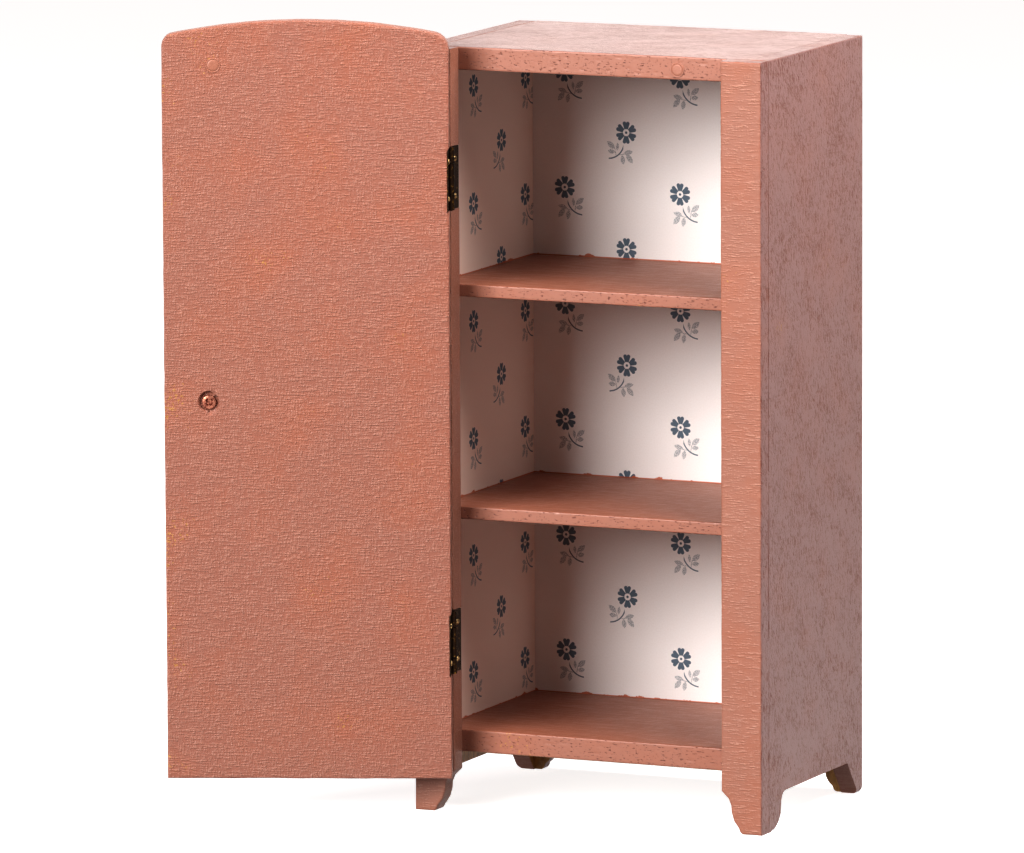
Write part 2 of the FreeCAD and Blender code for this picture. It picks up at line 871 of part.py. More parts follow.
def check(document, pieces):
    """Stop if anything in the document failed, or a sub-part has no good shape."""
    for item in document.Objects:
        if "Invalid" in item.State or "Error" in item.State:
            raise RuntimeError(f"{item.Label} failed: {item.State}")
    for piece in pieces:
        if piece.Shape.isNull() or not piece.Shape.isValid():
            raise RuntimeError(f"{piece.Label} has no valid shape")


def write(pieces):
    os.makedirs("parts", exist_ok=True)
    for piece in pieces:
        piece.Shape.exportStep(f"parts/{piece.Label}.step")


def main():
    document = FreeCAD.newDocument("MiniatureWardrobe")
    make_sheet(document)
    pieces = make_carcass(document)
    pieces += make_door_set(document)
    for name, middle in HINGES.items():
        pieces += make_hinge(document, name, middle)
    document.recompute()
    check(document, pieces)
    write(pieces)
    print(f"{len(pieces)} sub-parts written")


main()
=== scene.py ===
import json
import math

import bpy
import numpy as np
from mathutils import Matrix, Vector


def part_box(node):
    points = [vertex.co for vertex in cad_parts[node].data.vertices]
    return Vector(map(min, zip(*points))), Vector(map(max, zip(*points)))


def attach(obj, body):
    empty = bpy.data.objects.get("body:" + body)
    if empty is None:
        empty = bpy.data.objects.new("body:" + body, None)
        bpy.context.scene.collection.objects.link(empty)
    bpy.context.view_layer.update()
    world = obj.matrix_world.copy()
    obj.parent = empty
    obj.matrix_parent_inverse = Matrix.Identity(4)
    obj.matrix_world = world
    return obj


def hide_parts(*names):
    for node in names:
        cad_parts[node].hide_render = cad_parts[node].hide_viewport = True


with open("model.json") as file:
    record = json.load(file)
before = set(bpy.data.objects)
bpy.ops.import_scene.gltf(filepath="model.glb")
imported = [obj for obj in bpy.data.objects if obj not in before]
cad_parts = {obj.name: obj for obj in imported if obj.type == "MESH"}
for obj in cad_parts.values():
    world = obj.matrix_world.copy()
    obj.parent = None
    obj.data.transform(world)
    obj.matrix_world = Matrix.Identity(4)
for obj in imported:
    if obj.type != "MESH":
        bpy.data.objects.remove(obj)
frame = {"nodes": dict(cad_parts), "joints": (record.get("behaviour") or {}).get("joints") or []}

# Miniature wardrobe for a dolls' house: brush-painted wood, printed paper lining, antique brass hinges.
# Lengths are metres; a size in millimetres is multiplied by mm.

mm = 0.001
hair = 1e-6                  # closer than this, in metres, counts as touching
crease = math.radians(50)    # edges sharper than this stay crisp
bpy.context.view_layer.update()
nodes = frame["nodes"]
print("frame loaded:", len(nodes), "pieces")


# Small tools.

def hexToLinear(code):
    # sRGB channel c becomes c / 12.92 below 0.04045, and ((c + 0.055) / 1.055) ** 2.4 above it
    channels = [int(code[i:i + 2], 16) / 255 for i in (1, 3, 5)]
    return [c / 12.92 if c <= 0.04045 else ((c + 0.055) / 1.055) ** 2.4 for c in channels] + [1.0]


def addNode(tree, kind, settings=None, inputs=None):
    # an input is a plain value, another node (its first output) or one of its sockets
    node = tree.nodes.new("ShaderNode" + kind)
    for name, value in (settings or {}).items():
        setattr(node, name, value)
    for name, value in (inputs or {}).items():
        if isinstance(value, bpy.types.Node):
            value = value.outputs[0]
        if isinstance(value, bpy.types.NodeSocket):
            tree.links.new(value, node.inputs[name])
        else:
            node.inputs[name].default_value = value
    return node


def startMaterial(name):
    material = bpy.data.materials.new(name)
    material.use_nodes = True
    tree = material.node_tree
    tree.nodes.clear()
    return material, tree


def finishMaterial(tree, inputs):
    shader = addNode(tree, "BsdfPrincipled", {}, inputs)
    addNode(tree, "OutputMaterial", {}, {"Surface": shader})


def dress(node, material):
    # a piece that keeps its own mesh gets a finish
    piece = nodes[node]
    piece.data.materials.clear()
    piece.data.materials.append(material)


def meshPiece(name, points, faceBlocks, material, flatMap=None, smooth=False):
    # signed volume = sum of a . (b x c) over triangles; where it comes out negative the mesh is inside out,
    # so its faces are turned round
    volume = 0.0
    for block in faceBlocks:
        for k in range(1, block.shape[1] - 1):
            a, b, c = points[block[:, 0]], points[block[:, k]], points[block[:, k + 1]]
            volume += (a * np.cross(b, c)).sum()
    if volume < 0:
        faceBlocks = [block[:, ::-1] for block in faceBlocks]
    mesh = bpy.data.meshes.new(name)
    mesh.from_pydata(points.tolist(), [], [face for block in faceBlocks for face in block.tolist()])
    if flatMap is not None:
        layer = mesh.uv_layers.new(name="millimetres")
        corner = np.zeros(len(mesh.loops), np.int32)
        mesh.loops.foreach_get("vertex_index", corner)
        layer.data.foreach_set("uv", flatMap[corner].astype(np.float32).ravel())
    mesh.polygons.foreach_set("use_smooth", np.full(len(mesh.polygons), smooth))
    mesh.materials.append(material)
    mesh.update()
    if smooth:
        mesh.set_sharp_from_angle(angle=crease)
    piece = bpy.data.objects.new(name, mesh)
    bpy.context.scene.collection.objects.link(piece)
    return piece


# Painted wood: chalky terracotta acrylic, brushed by hand over fine-grained wood.
# It gives the eye short crossed brush strokes with painted shade in their valleys, a darker colour,
# small thin spots where the orange undercoat and yellow wood glow through, and a soft pale sheen at a
# glancing angle. The faces turned sideways and up get their own browns: painted reflection and shade.

paint = {
    "thin": "#b5602f", "bare": "#b98a4a",
    "cloud": 20.0, "speck": 0.9,          # how large the cloudy patches and the specks are, mm
    "thinFrom": 0.44, "thinTo": 0.72,     # the cloud values between which the undercoat comes through
    "bareOver": 0.05, "bareMost": 0.7,    # how fast a speck comes up, and how strong it gets
    "rubbed": 0.05,                       # how much smoother the crests are, and rougher the valleys
    "turnFrom": 0.6, "turnTo": 0.8,       # a look takes over as a face turns its way, as a cosine
    "ior": 1.5, "sheenRoughness": 0.35, "sheenTint": "#ffe9e2",
}
# bare wood: both browns are lighter than the wood itself, painted bounce light in place of the floor's
rawWoodWithPaintedBounce = {
    "light": "#dcae62", "dark": "#a0733a", "edge": 0.3,    # edge: how soft the paint's lower edge is, mm
    "grainAcross": 1.2, "grainAlong": 9, "stainFrom": 0.35, "stainTo": 0.62,
}


def strokeHeight(tree, place, look):
    # height = (sum of noise * weight, with the grit's) / sum of weights;
    # each noise is stretched along its own stroke
    height = 0.0
    for reach, width, turn, weight in look["strokes"]:
        turned = addNode(tree, "Mapping", {"vector_type": "TEXTURE"}, {
            "Vector": place, "Rotation": [math.radians(a) for a in turn],
            "Scale": [reach * mm, width * mm, width * mm]})
        noise = addNode(tree, "TexNoise", {}, {
            "Vector": turned, "Scale": 1.0, "Detail": 1.5, "Roughness": 0.5, "Distortion": look["wander"]})
        height = addNode(tree, "Math", {"operation": "MULTIPLY_ADD"}, {0: noise, 1: weight, 2: height})
    grit = addNode(tree, "TexNoise", {}, {"Vector": place, "Scale": 1 / (look["grit"] * mm), "Detail": 1.0})
    height = addNode(tree, "Math", {"operation": "MULTIPLY_ADD"}, {
        0: grit, 1: look["gritWeight"], 2: height})
    total = sum(weight for *_, weight in look["strokes"]) + look["gritWeight"]
    return addNode(tree, "Math", {"operation": "DIVIDE"}, {0: height, 1: total})


def paintedWood(name, looks, sheen, raw=None, worn=None):
    # ridge = stroke height passed through the look's band; relief = depth * ridge;
    # tone = ground to crest by ridge, so the valleys are darker, which is painted shade;
    # gloss = roughness + rubbed in the valleys, - rubbed on the crests.
    # The first look covers the piece and each later one takes over on faces that look its way; the side and
    # top looks carry painted reflection and painted shade, so faces turned sideways or up get a lit copy of
    # the paint.
    # Thin orange patches follow a cloudy noise, yellow specks its product with a fine one
    material, tree = startMaterial(name)
    coordinates = addNode(tree, "TexCoord")
    place = coordinates.outputs["Object"]
    mixed = {}
    for look in looks:
        ridge = addNode(tree, "MapRange", {"interpolation_type": "SMOOTHSTEP"}, {
            "Value": strokeHeight(tree, place, look),
            "From Min": look["band"][0], "From Max": look["band"][1]})
        relief = addNode(tree, "Math", {"operation": "MULTIPLY"}, {0: ridge, 1: look["depth"]})
        tone = addNode(tree, "Mix", {"data_type": "RGBA"}, {
            "Factor": ridge, "A": hexToLinear(look["ground"]), "B": hexToLinear(look["crest"])})
        gloss = addNode(tree, "MapRange", {}, {
            "Value": ridge, "To Min": look["roughness"] + paint["rubbed"],
            "To Max": look["roughness"] - paint["rubbed"]})
        own = {"relief": relief.outputs[0], "gloss": gloss.outputs[0], "tone": tone.outputs["Result"]}
        if mixed:
            along = addNode(tree, "VectorMath", {"operation": "DOT_PRODUCT"}, {
                0: coordinates.outputs["Normal"], 1: look["facing"]})
            share = addNode(tree, "MapRange", {}, {
                "Value": along.outputs["Value"],
                "From Min": paint["turnFrom"], "From Max": paint["turnTo"]})
            for key, value in own.items():
                own[key] = addNode(tree, "Mix", {"data_type": "RGBA" if key == "tone" else "FLOAT"}, {
                    "Factor": share, "A": mixed[key], "B": value}).outputs["Result"]
        mixed = own
    base = looks[0]
    cloud = addNode(tree, "TexNoise", {}, {
        "Vector": place, "Scale": 1 / (paint["cloud"] * mm), "Detail": 3.0})
    thin = addNode(tree, "MapRange", {}, {
        "Value": cloud, "From Min": paint["thinFrom"], "From Max": paint["thinTo"],
        "To Max": base["thinMost"]})
    warm = addNode(tree, "Mix", {"data_type": "RGBA"}, {
        "Factor": thin, "A": mixed["tone"], "B": hexToLinear(paint["thin"])})
    speck = addNode(tree, "TexNoise", {}, {
        "Vector": place, "Scale": 1 / (paint["speck"] * mm), "Detail": 2.0})
    rare = addNode(tree, "Math", {"operation": "MULTIPLY"}, {0: speck, 1: cloud})
    if worn:
        reach = addNode(tree, "VectorMath", {"operation": "DOT_PRODUCT"}, {0: place, 1: worn["towards"]})
        edge = addNode(tree, "MapRange", {}, {
            "Value": reach.outputs["Value"],
            "From Min": worn["from"], "From Max": worn["to"], "To Max": worn["more"]})
        rare = addNode(tree, "Math", {"operation": "ADD"}, {0: rare, 1: edge})
    bare = addNode(tree, "MapRange", {}, {
        "Value": rare, "From Min": base["bareFrom"], "From Max": base["bareFrom"] + paint["bareOver"],
        "To Max": paint["bareMost"]})
    colour = addNode(tree, "Mix", {"data_type": "RGBA"}, {
        "Factor": bare, "A": warm.outputs["Result"], "B": hexToLinear(paint["bare"])})
    if raw:
        colour = rawWhere(tree, place, colour.outputs["Result"], raw)
    bump = addNode(tree, "Bump", {}, {"Strength": 1.0, "Distance": mm, "Height": mixed["relief"]})
    finishMaterial(tree, {
        "Base Color": colour.outputs["Result"], "Roughness": mixed["gloss"], "Normal": bump,
        "IOR": paint["ior"], "Sheen Weight": sheen, "Sheen Roughness": paint["sheenRoughness"],
        "Sheen Tint": hexToLinear(paint["sheenTint"])})
    return material


def rawWhere(tree, place, painted, raw):
    # bare wood = (normal . raw["facing"] > 0.5) * (height under raw["below"] mm, softened over the edge);
    # its colour goes from dark to light by a noise stretched up the grain, both browns lightened with
    # painted bounce light
    facing = addNode(tree, "VectorMath", {"operation": "DOT_PRODUCT"}, {
        0: addNode(tree, "TexCoord").outputs["Normal"], 1: raw["facing"]})
    low = addNode(tree, "SeparateXYZ", {}, {"Vector": place})
    inside = addNode(tree, "Math", {"operation": "GREATER_THAN"}, {0: facing.outputs["Value"], 1: 0.5})
    under = addNode(tree, "MapRange", {}, {
        "Value": low.outputs["Z"], "From Min": (raw["below"] + rawWoodWithPaintedBounce["edge"]) * mm,
        "From Max": (raw["below"] - rawWoodWithPaintedBounce["edge"]) * mm})
    mask = addNode(tree, "Math", {"operation": "MULTIPLY"}, {0: inside, 1: under})
    across, along = 1 / (rawWoodWithPaintedBounce["grainAcross"] * mm), 1 / (rawWoodWithPaintedBounce["grainAlong"] * mm)
    stretched = addNode(tree, "Mapping", {}, {"Vector": place, "Scale": [across, across, along]})
    grain = addNode(tree, "TexNoise", {}, {"Vector": stretched, "Scale": 1.0, "Detail": 4.0})
    stain = addNode(tree, "MapRange", {}, {
        "Value": grain, "From Min": rawWoodWithPaintedBounce["stainFrom"], "From Max": rawWoodWithPaintedBounce["stainTo"]})
    wood = addNode(tree, "Mix", {"data_type": "RGBA"}, {
        "Factor": stain, "A": hexToLinear(rawWoodWithPaintedBounce["dark"]), "B": hexToLinear(rawWoodWithPaintedBounce["light"])})
    return addNode(tree, "Mix", {"data_type": "RGBA"}, {
        "Factor": mask, "A": painted, "B": wood.outputs["Result"]})


# the door is the posts' paint, a little darker: painted shade that evens it out against the posts under the
# lamp
doorLook = {    # strokes: reach mm, width mm, turn of the stroke in degrees, weight
    "strokes": [(3.4, 0.5, (0, 0, 22), 1.0), (1.9, 0.5, (0, 90, 0), 0.8)], "wander": 0.2,
    "grit": 0.5, "gritWeight": 0.45, "band": (0.42, 0.68), "depth": 0.16,
    "ground": "#9a6655", "crest": "#a87664", "thinMost": 0.2, "bareFrom": 0.445, "roughness": 0.43,
}
postLook = {
    **doorLook,
    "strokes": [(4.5, 0.45, (0, 0, 0), 1.1), (1.8, 0.55, (0, 0, 0), 0.5), (1.8, 0.5, (0, 90, 0), 0.45)],
    "band": (0.48, 0.7), "depth": 0.13, "ground": "#9d6b58", "crest": "#ae7e6a"}
edgeLook = {
    **postLook, "strokes": [(1.5, 0.4, (0, 0, 0), 1.0)], "band": (0.33, 0.43), "depth": 0.12,
    "ground": "#6d3d2f", "crest": "#a26f5c", "facing": (0, -1, 0)}
# the sides' pale greyish crests are a painted reflection of the white room, their dark valleys painted shade
sideLookPaintedLight = {
    **doorLook,
    "strokes": [(3.2, 0.42, (0, 90, 0), 1.2), (2.4, 0.55, (0, 48, 90), 0.7),
                (3, 0.5, (0, 0, 90), 0.3), (16, 7, (0, 35, 90), 0.4)],
    "band": (0.41, 0.53), "depth": 0.1, "ground": "#824c3f", "crest": "#a27872", "thinMost": 0.05,
    "bareFrom": 0.5}
# faces that look up: a darker, greyer copy of the paint, painted reflection of the white room and painted
# shade
topLookPaintedLight = {
    **doorLook,
    "strokes": [(4, 0.5, (0, 0, 28), 1.0), (4, 0.5, (0, 0, -25), 0.8),
                (6, 0.5, (0, 0, 0), 0.5), (18, 9, (0, 0, 20), 0.5)],
    "band": (0.4, 0.54), "depth": 0.1, "ground": "#684138", "crest": "#8d706b", "thinMost": 0.05,
    "roughness": 0.36, "facing": (0, 0, 1)}
boardLook = {
    **doorLook, "strokes": [(9, 0.8, (0, 0, 0), 1.0), (4, 0.9, (0, 0, 60), 0.5)], "band": (0.44, 0.6),
    "depth": 0.04, "ground": "#a0664f", "crest": "#a9705a", "thinMost": 0.12}
discLook = {**doorLook, "depth": 0.02, "ground": "#a06f5d", "crest": "#a77664"}

# the number after the looks is the sheen; raw["below"] is a height in mm; worn["from"] and worn["to"] are
# distances in metres from the cabinet's middle along the open door, between which specks get more common
openDoor = math.radians(frame["joints"][0]["range_deg"][0])
doorPaint = paintedWood("brushed_paint_door", [doorLook], 0.12, worn={
    "towards": (math.cos(openDoor), math.sin(openDoor), 0), "from": 0.124, "to": 0.1462, "more": 0.1})
postPaints, sidePaints = {}, {}
for side, way in (("left", -1), ("right", 1)):
    # the outer faces take the sides' painted reflection and shade
    outside = {**sideLookPaintedLight, "facing": (way, 0, 0)}
    postPaints[side] = paintedWood(f"brushed_paint_{side}_post", [postLook, outside, topLookPaintedLight], 0.12)
    sidePaints[side] = paintedWood(
        f"brushed_paint_{side}_side", [boardLook, outside, topLookPaintedLight], 0.25,
        {"below": 18.4, "facing": (-way, 0, 0)})
# the back carries the sides' painted reflection and shade too
backPaint = paintedWood("brushed_paint_back", [
    {**sideLookPaintedLight, "strokes": [(2.6, 0.34, (0, 90, 0), 1.2), (4, 0.5, (0, 0, 0), 0.6)]}], 0.25,
    {"below": 18.4, "facing": (0, -1, 0)})
boardPaint = paintedWood(
    "brushed_paint_boards", [boardLook, edgeLook], 0.04, {"below": 18.8, "facing": (0, 0, -1)})
topPaint = paintedWood("brushed_paint_top", [topLookPaintedLight, edgeLook], 0.45)
discPaint = paintedWood("brushed_paint_disc", [discLook], 0.12)
print("painted wood mixed")

dress("left_side_panel", sidePaints["left"])
dress("right_side_panel", sidePaints["right"])
dress("back_panel", backPaint)


# Brushed wood pieces: soft-edged slabs whose faces carry the waves that a brush leaves.

waves = [(0.10, 38, 26), (0.05, 7, 1.7), (0.04, 1.8, 6)]    # height, length and breadth, mm
wearLong = 4 * mm    # the length of one bite in a worn edge


def softNoise(a, b, seed):
    # value noise in -0.5..0.5: a table of random numbers read at the four corners round (a, b)
    # and blended with t * t * (3 - 2 * t) both ways
    table = np.random.default_rng(seed).random((64, 64)) - 0.5
    i, j = np.floor(a).astype(int), np.floor(b).astype(int)
    s, t = a - i, b - j
    s, t = s * s * (3 - 2 * s), t * t * (3 - 2 * t)
    near = table[i % 64, j % 64] * (1 - s) + table[(i + 1) % 64, j % 64] * s
    far = table[i % 64, (j + 1) % 64] * (1 - s) + table[(i + 1) % 64, (j + 1) % 64] * s
    return near * (1 - t) + far * t


def linesBetween(low, high, step, extra=()):
    # evenly spaced stations from low to high, with the extra ones let in and their close neighbours left out
    even = np.linspace(low, high, max(2, int(round((high - low) / step)) + 1))
    extra = np.array(extra, float)
    if len(extra):
        gap = np.abs(even[:, None] - extra[None, :]).min(1)
        even = even[(gap > step * 0.45) | (even == low) | (even == high)]
        even = np.concatenate([even, extra])
    return np.unique(even)


def slabGrid(run, low, high, shares, thickness, softness, wear, seed, edgeRows, seam=None):
    # a closed slab in (run, cross, depth). Outline O(i, q) = (run_i, low_i + q * (high_i - low_i));
    # the face F is O drawn in by the softness r all round. The rim goes from F to O by sin(angle) while
    # its depth falls by r * (1 - cos(angle)), then straight down the edge and round onto the other face.
    # A face glued to its neighbour has the seam's own, smaller r.
    seam = seam or softness
    length = run[-1] - run[0]
    q = shares[None, :]
    outer = np.stack([np.broadcast_to(run[:, None], (len(run), len(shares))),
                      low[:, None] + q * (high - low)[:, None]], -1)
    rows, columns = outer.shape[:2]
    above, below = (np.stack([
        np.broadcast_to((run[0] + r + (run - run[0]) * (length - 2 * r) / length)[:, None], (rows, columns)),
        low[:, None] + r + q * (high - low - 2 * r)[:, None]], -1).reshape(-1, 2)
        for r in (seam, softness))
    index = np.arange(rows * columns).reshape(rows, columns)
    rim = np.concatenate([index[:-1, 0], index[-1, :-1], index[:0:-1, -1], index[0, :0:-1]])
    rimOuter = outer.reshape(-1, 2)[rim]
    walk = np.cumsum(np.linalg.norm(np.diff(rimOuter, axis=0, append=rimOuter[:1]), axis=1))
    outward = rimOuter - below[rim]
    # worn edges: the outline wanders inwards by up to the wear
    nibble = wear * (0.5 + softNoise(walk / wearLong, walk * 0, seed))[:, None]
    rimOuter = rimOuter - outward / np.linalg.norm(outward, axis=1, keepdims=True) * nibble
    half = thickness / 2
    layers = [np.column_stack([above, np.full(len(above), half)]),
              np.column_stack([below, np.full(len(below), -half)])]
    angles = np.radians([30, 60, 90])
    steps = [(above, np.sin(a), half - seam * (1 - np.cos(a))) for a in angles]
    straight = np.linspace(half - seam, softness - half, edgeRows + 2)
    steps += [(below, 1.0, depth) for depth in straight[1:-1]]
    steps += [(below, np.sin(a), softness * (1 - np.cos(a)) - half) for a in reversed(angles)]
    for face, share, depth in steps:
        ring = face[rim] + (rimOuter - face[rim]) * share
        layers.append(np.column_stack([ring, np.full(len(ring), depth)]))
    count, around = rows * columns, len(rim)
    rings = [rim] + [2 * count + k * around + np.arange(around) for k in range(len(steps))] + [rim + count]
    quads = np.stack([index[:-1, :-1], index[1:, :-1], index[1:, 1:], index[:-1, 1:]], -1).reshape(-1, 4)
    faces = [quads, quads[:, ::-1] + count]
    for ring, following in zip(rings, rings[1:]):
        faces.append(np.stack([ring, following, np.roll(following, -1), np.roll(ring, -1)], -1))
    return np.concatenate(layers), np.concatenate(faces)


def brushWaves(a, b, seed):
    # long low waves of the sawn board plus shallow strokes both ways:
    # height = sum of wave height * noise(a / length, b / breadth), in metres
    return sum(high * softNoise(a / (long * mm), b / (wide * mm), seed + k)
               for k, (high, long, wide) in enumerate(waves)) * mm


def onFaces(depth, thickness):
    # the points of a slab that lie on its two faces, |depth| = thickness / 2
    return np.abs(np.abs(depth) - thickness / 2) < hair


def woodPiece(name, node, body, local, faces, origin, axes, material):
    # P = origin + run * first axis + cross * second axis + depth * third axis
    piece = meshPiece(name, np.array(origin) + local @ np.array(axes), [faces], material, smooth=True)
    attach(piece, body)
    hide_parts(node)


# the boards: length along X, depth along Y, with open pores along the sawn front edge

boards = {
    "stepAlong": 0.5 * mm, "stepDeep": 1.0 * mm, "softness": 0.35 * mm, "wear": 0.12 * mm,
    "front": 0.15 * mm,       # how far back the front edge's points reach
    "poreFrom": 0.37, "poreDeep": 1.1 * mm, "poreLong": 1.3 * mm, "poreTall": 0.35 * mm,
    "edgeRows": {"top_board": 16, "floor_board": 14, "upper_shelf": 8, "lower_shelf": 8},
}


def makeBoard(node, material, seed):
    # slab with face waves, and pores = poreDeep * (noise - poreFrom, where positive) along the front edge
    low, high = (np.array(corner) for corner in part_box(node))
    size = high - low
    run = linesBetween(0, size[0], boards["stepAlong"])
    cross = linesBetween(0, size[1], boards["stepDeep"])
    local, faces = slabGrid(
        run, np.zeros(len(run)), np.full(len(run), size[1]), cross / size[1], size[2],
        boards["softness"], boards["wear"], seed, boards["edgeRows"][node])
    x, y, z = local.T
    z += np.where(onFaces(z, size[2]), np.sign(z) * brushWaves(x, y, seed), 0)
    noise = softNoise(x / boards["poreLong"], z / boards["poreTall"], seed + len(waves))
    pore = np.clip(noise - boards["poreFrom"], 0, 1)
    y += np.where(y < boards["front"], pore * boards["poreDeep"], 0)
    corner = [low[0], low[1], (low[2] + high[2]) / 2]
    woodPiece(node + "_wood", node, "cabinet", np.column_stack([x, y, z]), faces, corner, np.eye(3), material)


for seed, (node, finish) in enumerate([
        ("top_board", topPaint), ("floor_board", boardPaint),
        ("upper_shelf", boardPaint), ("lower_shelf", boardPaint)]):
    makeBoard(node, finish, 10 + 10 * seed)


# the posts: run up Z, across X; the inner edge is cut back by the scrolled foot and the hinge mortises

foot = {    # the scroll from the straight inner edge down to the sole: cut back by, at height, both mm
    "points": [(0.0, 13.2), (0.9, 12.3), (2.35, 10.9), (3.2, 8.8), (3.35, 6.6), (4.15, 3.9),
               (5.7, 1.9), (5.95, 1.2), (6.35, 0.45), (7.1, 0.0)],
    "softness": 0.45 * mm, "seam": 0.12 * mm, "wear": 0.12 * mm, "step": 0.6 * mm,
    "curveLines": 34, "acrossLines": 23,
}
mortise = {"depth": 0.5 * mm, "half": 9.9 * mm, "blur": 0.12 * mm, "fade": 3 * mm}
edgeRows = 3    # rows down the edge of a post or of the door


def mortiseDepth(z):
    # full depth inside each hinge's stretch, falling to nothing over the blur at its ends
    depth = np.zeros_like(z)
    for hinge in ("upper_hinge", "lower_hinge"):
        low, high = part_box(hinge + "_frame_leaf")
        away = np.abs(z - (low[2] + high[2]) / 2) - mortise["half"]
        depth = np.maximum(depth, mortise["depth"] * np.clip(-away / mortise["blur"], 0, 1))
    return depth


def mortiseLines():
    # the heights where each mortise ends, and where it has reached its full depth
    lines = []
    for hinge in ("upper_hinge", "lower_hinge"):
        low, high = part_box(hinge + "_frame_leaf")
        for side in (-1, 1):
            end = (low[2] + high[2]) / 2 + side * mortise["half"]
            lines += [end, end - side * mortise["blur"]]
    return lines


def makePost(node, side, seed):
    # slab with face waves, whose width = the post's width - the foot's scroll - the mortises (left post only)
    low, high = (np.array(corner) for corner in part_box(node))
    cut, level = np.array(foot["points"])[::-1].T * mm
    curve = np.linspace(0, level[-1], foot["curveLines"])
    notches = mortiseLines() if side < 0 else []
    z = linesBetween(low[2], high[2], foot["step"], np.concatenate([curve[1:-1], notches]))
    width, thickness = high[0] - low[0], high[1] - low[1]
    inner = np.where(z < level[-1], np.interp(z, level, cut), 0)
    if side < 0:
        inner = inner + mortiseDepth(z)
    shares = np.linspace(0, 1, foot["acrossLines"])
    local, faces = slabGrid(z - low[2], np.zeros(len(z)), width - inner, shares, thickness,
                            foot["softness"], foot["wear"], seed, edgeRows, foot["seam"])
    up, across, depth = local.T
    depth += np.where(onFaces(depth, thickness), np.sign(depth) * brushWaves(across, up, seed), 0)
    origin = [high[0] if side > 0 else low[0], (low[1] + high[1]) / 2, low[2]]
    axes = [(0, 0, 1), (-side, 0, 0), (0, 1, 0)]
    woodPiece(node + "_wood", node, "cabinet", np.column_stack([up, across, depth]), faces, origin, axes,
              postPaints["right" if side > 0 else "left"])


makePost("left_post", -1, 60)
makePost("right_post", 1, 70)


# the door: run along its width from the hinge, across its height; arched top, mortises, a screw's counterbore

leaf = {
    "width": 88.8 * mm, "thickness": 5.7 * mm, "bottom": 12.2 * mm, "shoulder": 244.9 * mm, "rise": 4.8 * mm,
    "hingeCorner": 4.2 * mm, "freeCorner": 2.8 * mm, "cornerAngles": np.array([0.5, 0.85, 1.2]),
    "softness": 0.45 * mm, "wear": 0.15 * mm, "step": 0.78 * mm,
    "fromPin": 0.25 * mm, "outerFace": 1.5 * mm,
}
bore = {
    "across": 74.9 * mm, "up": 130.7 * mm, "radius": 3.05 * mm, "depth": 1.4 * mm,
    "lines": np.array([-1.0, -0.985, -0.6, -0.2, 0.2, 0.6, 0.985, 1.0]),    # grid lines across it, in radii
    "inside": 0.995, "onEdge": 0.02,     # which points are the floor and which the edge, in radii
    "reach": 2.2,                        # how far out the grid bends to make the hole round, in radii
    "ragged": 0.25 * mm, "chips": 5,     # how uneven the edge is, and chips per radian
}


def doorFrame():
    # the pin line, then the door's own directions: along its width, up, and out of its inner face
    joint = frame["joints"][0]
    pin = np.array(joint["pos_m"])
    turned = math.radians(joint["range_deg"][0])    # from shut to how it stands at rest, about +Z
    along = np.array([math.cos(turned), math.sin(turned), 0])
    inward = np.array([-math.sin(turned), math.cos(turned), 0])
    return np.array([pin[0], pin[1], 0]), along, np.array([0, 0, 1.0]), inward


def doorTop(a):
    # arc of a circle over the shoulders, with the two top corners rounded by r - sqrt(r * r - d * d)
    half = leaf["width"] / 2
    radius = (half * half + leaf["rise"] ** 2) / (2 * leaf["rise"])
    top = leaf["shoulder"] + leaf["rise"] - radius + np.sqrt(radius ** 2 - (a - half) ** 2)
    for corner, away in ((leaf["hingeCorner"], a), (leaf["freeCorner"], leaf["width"] - a)):
        d = np.clip(corner - away, 0, corner)
        top = top - (corner - np.sqrt(np.maximum(corner ** 2 - d ** 2, 0)))
    return top


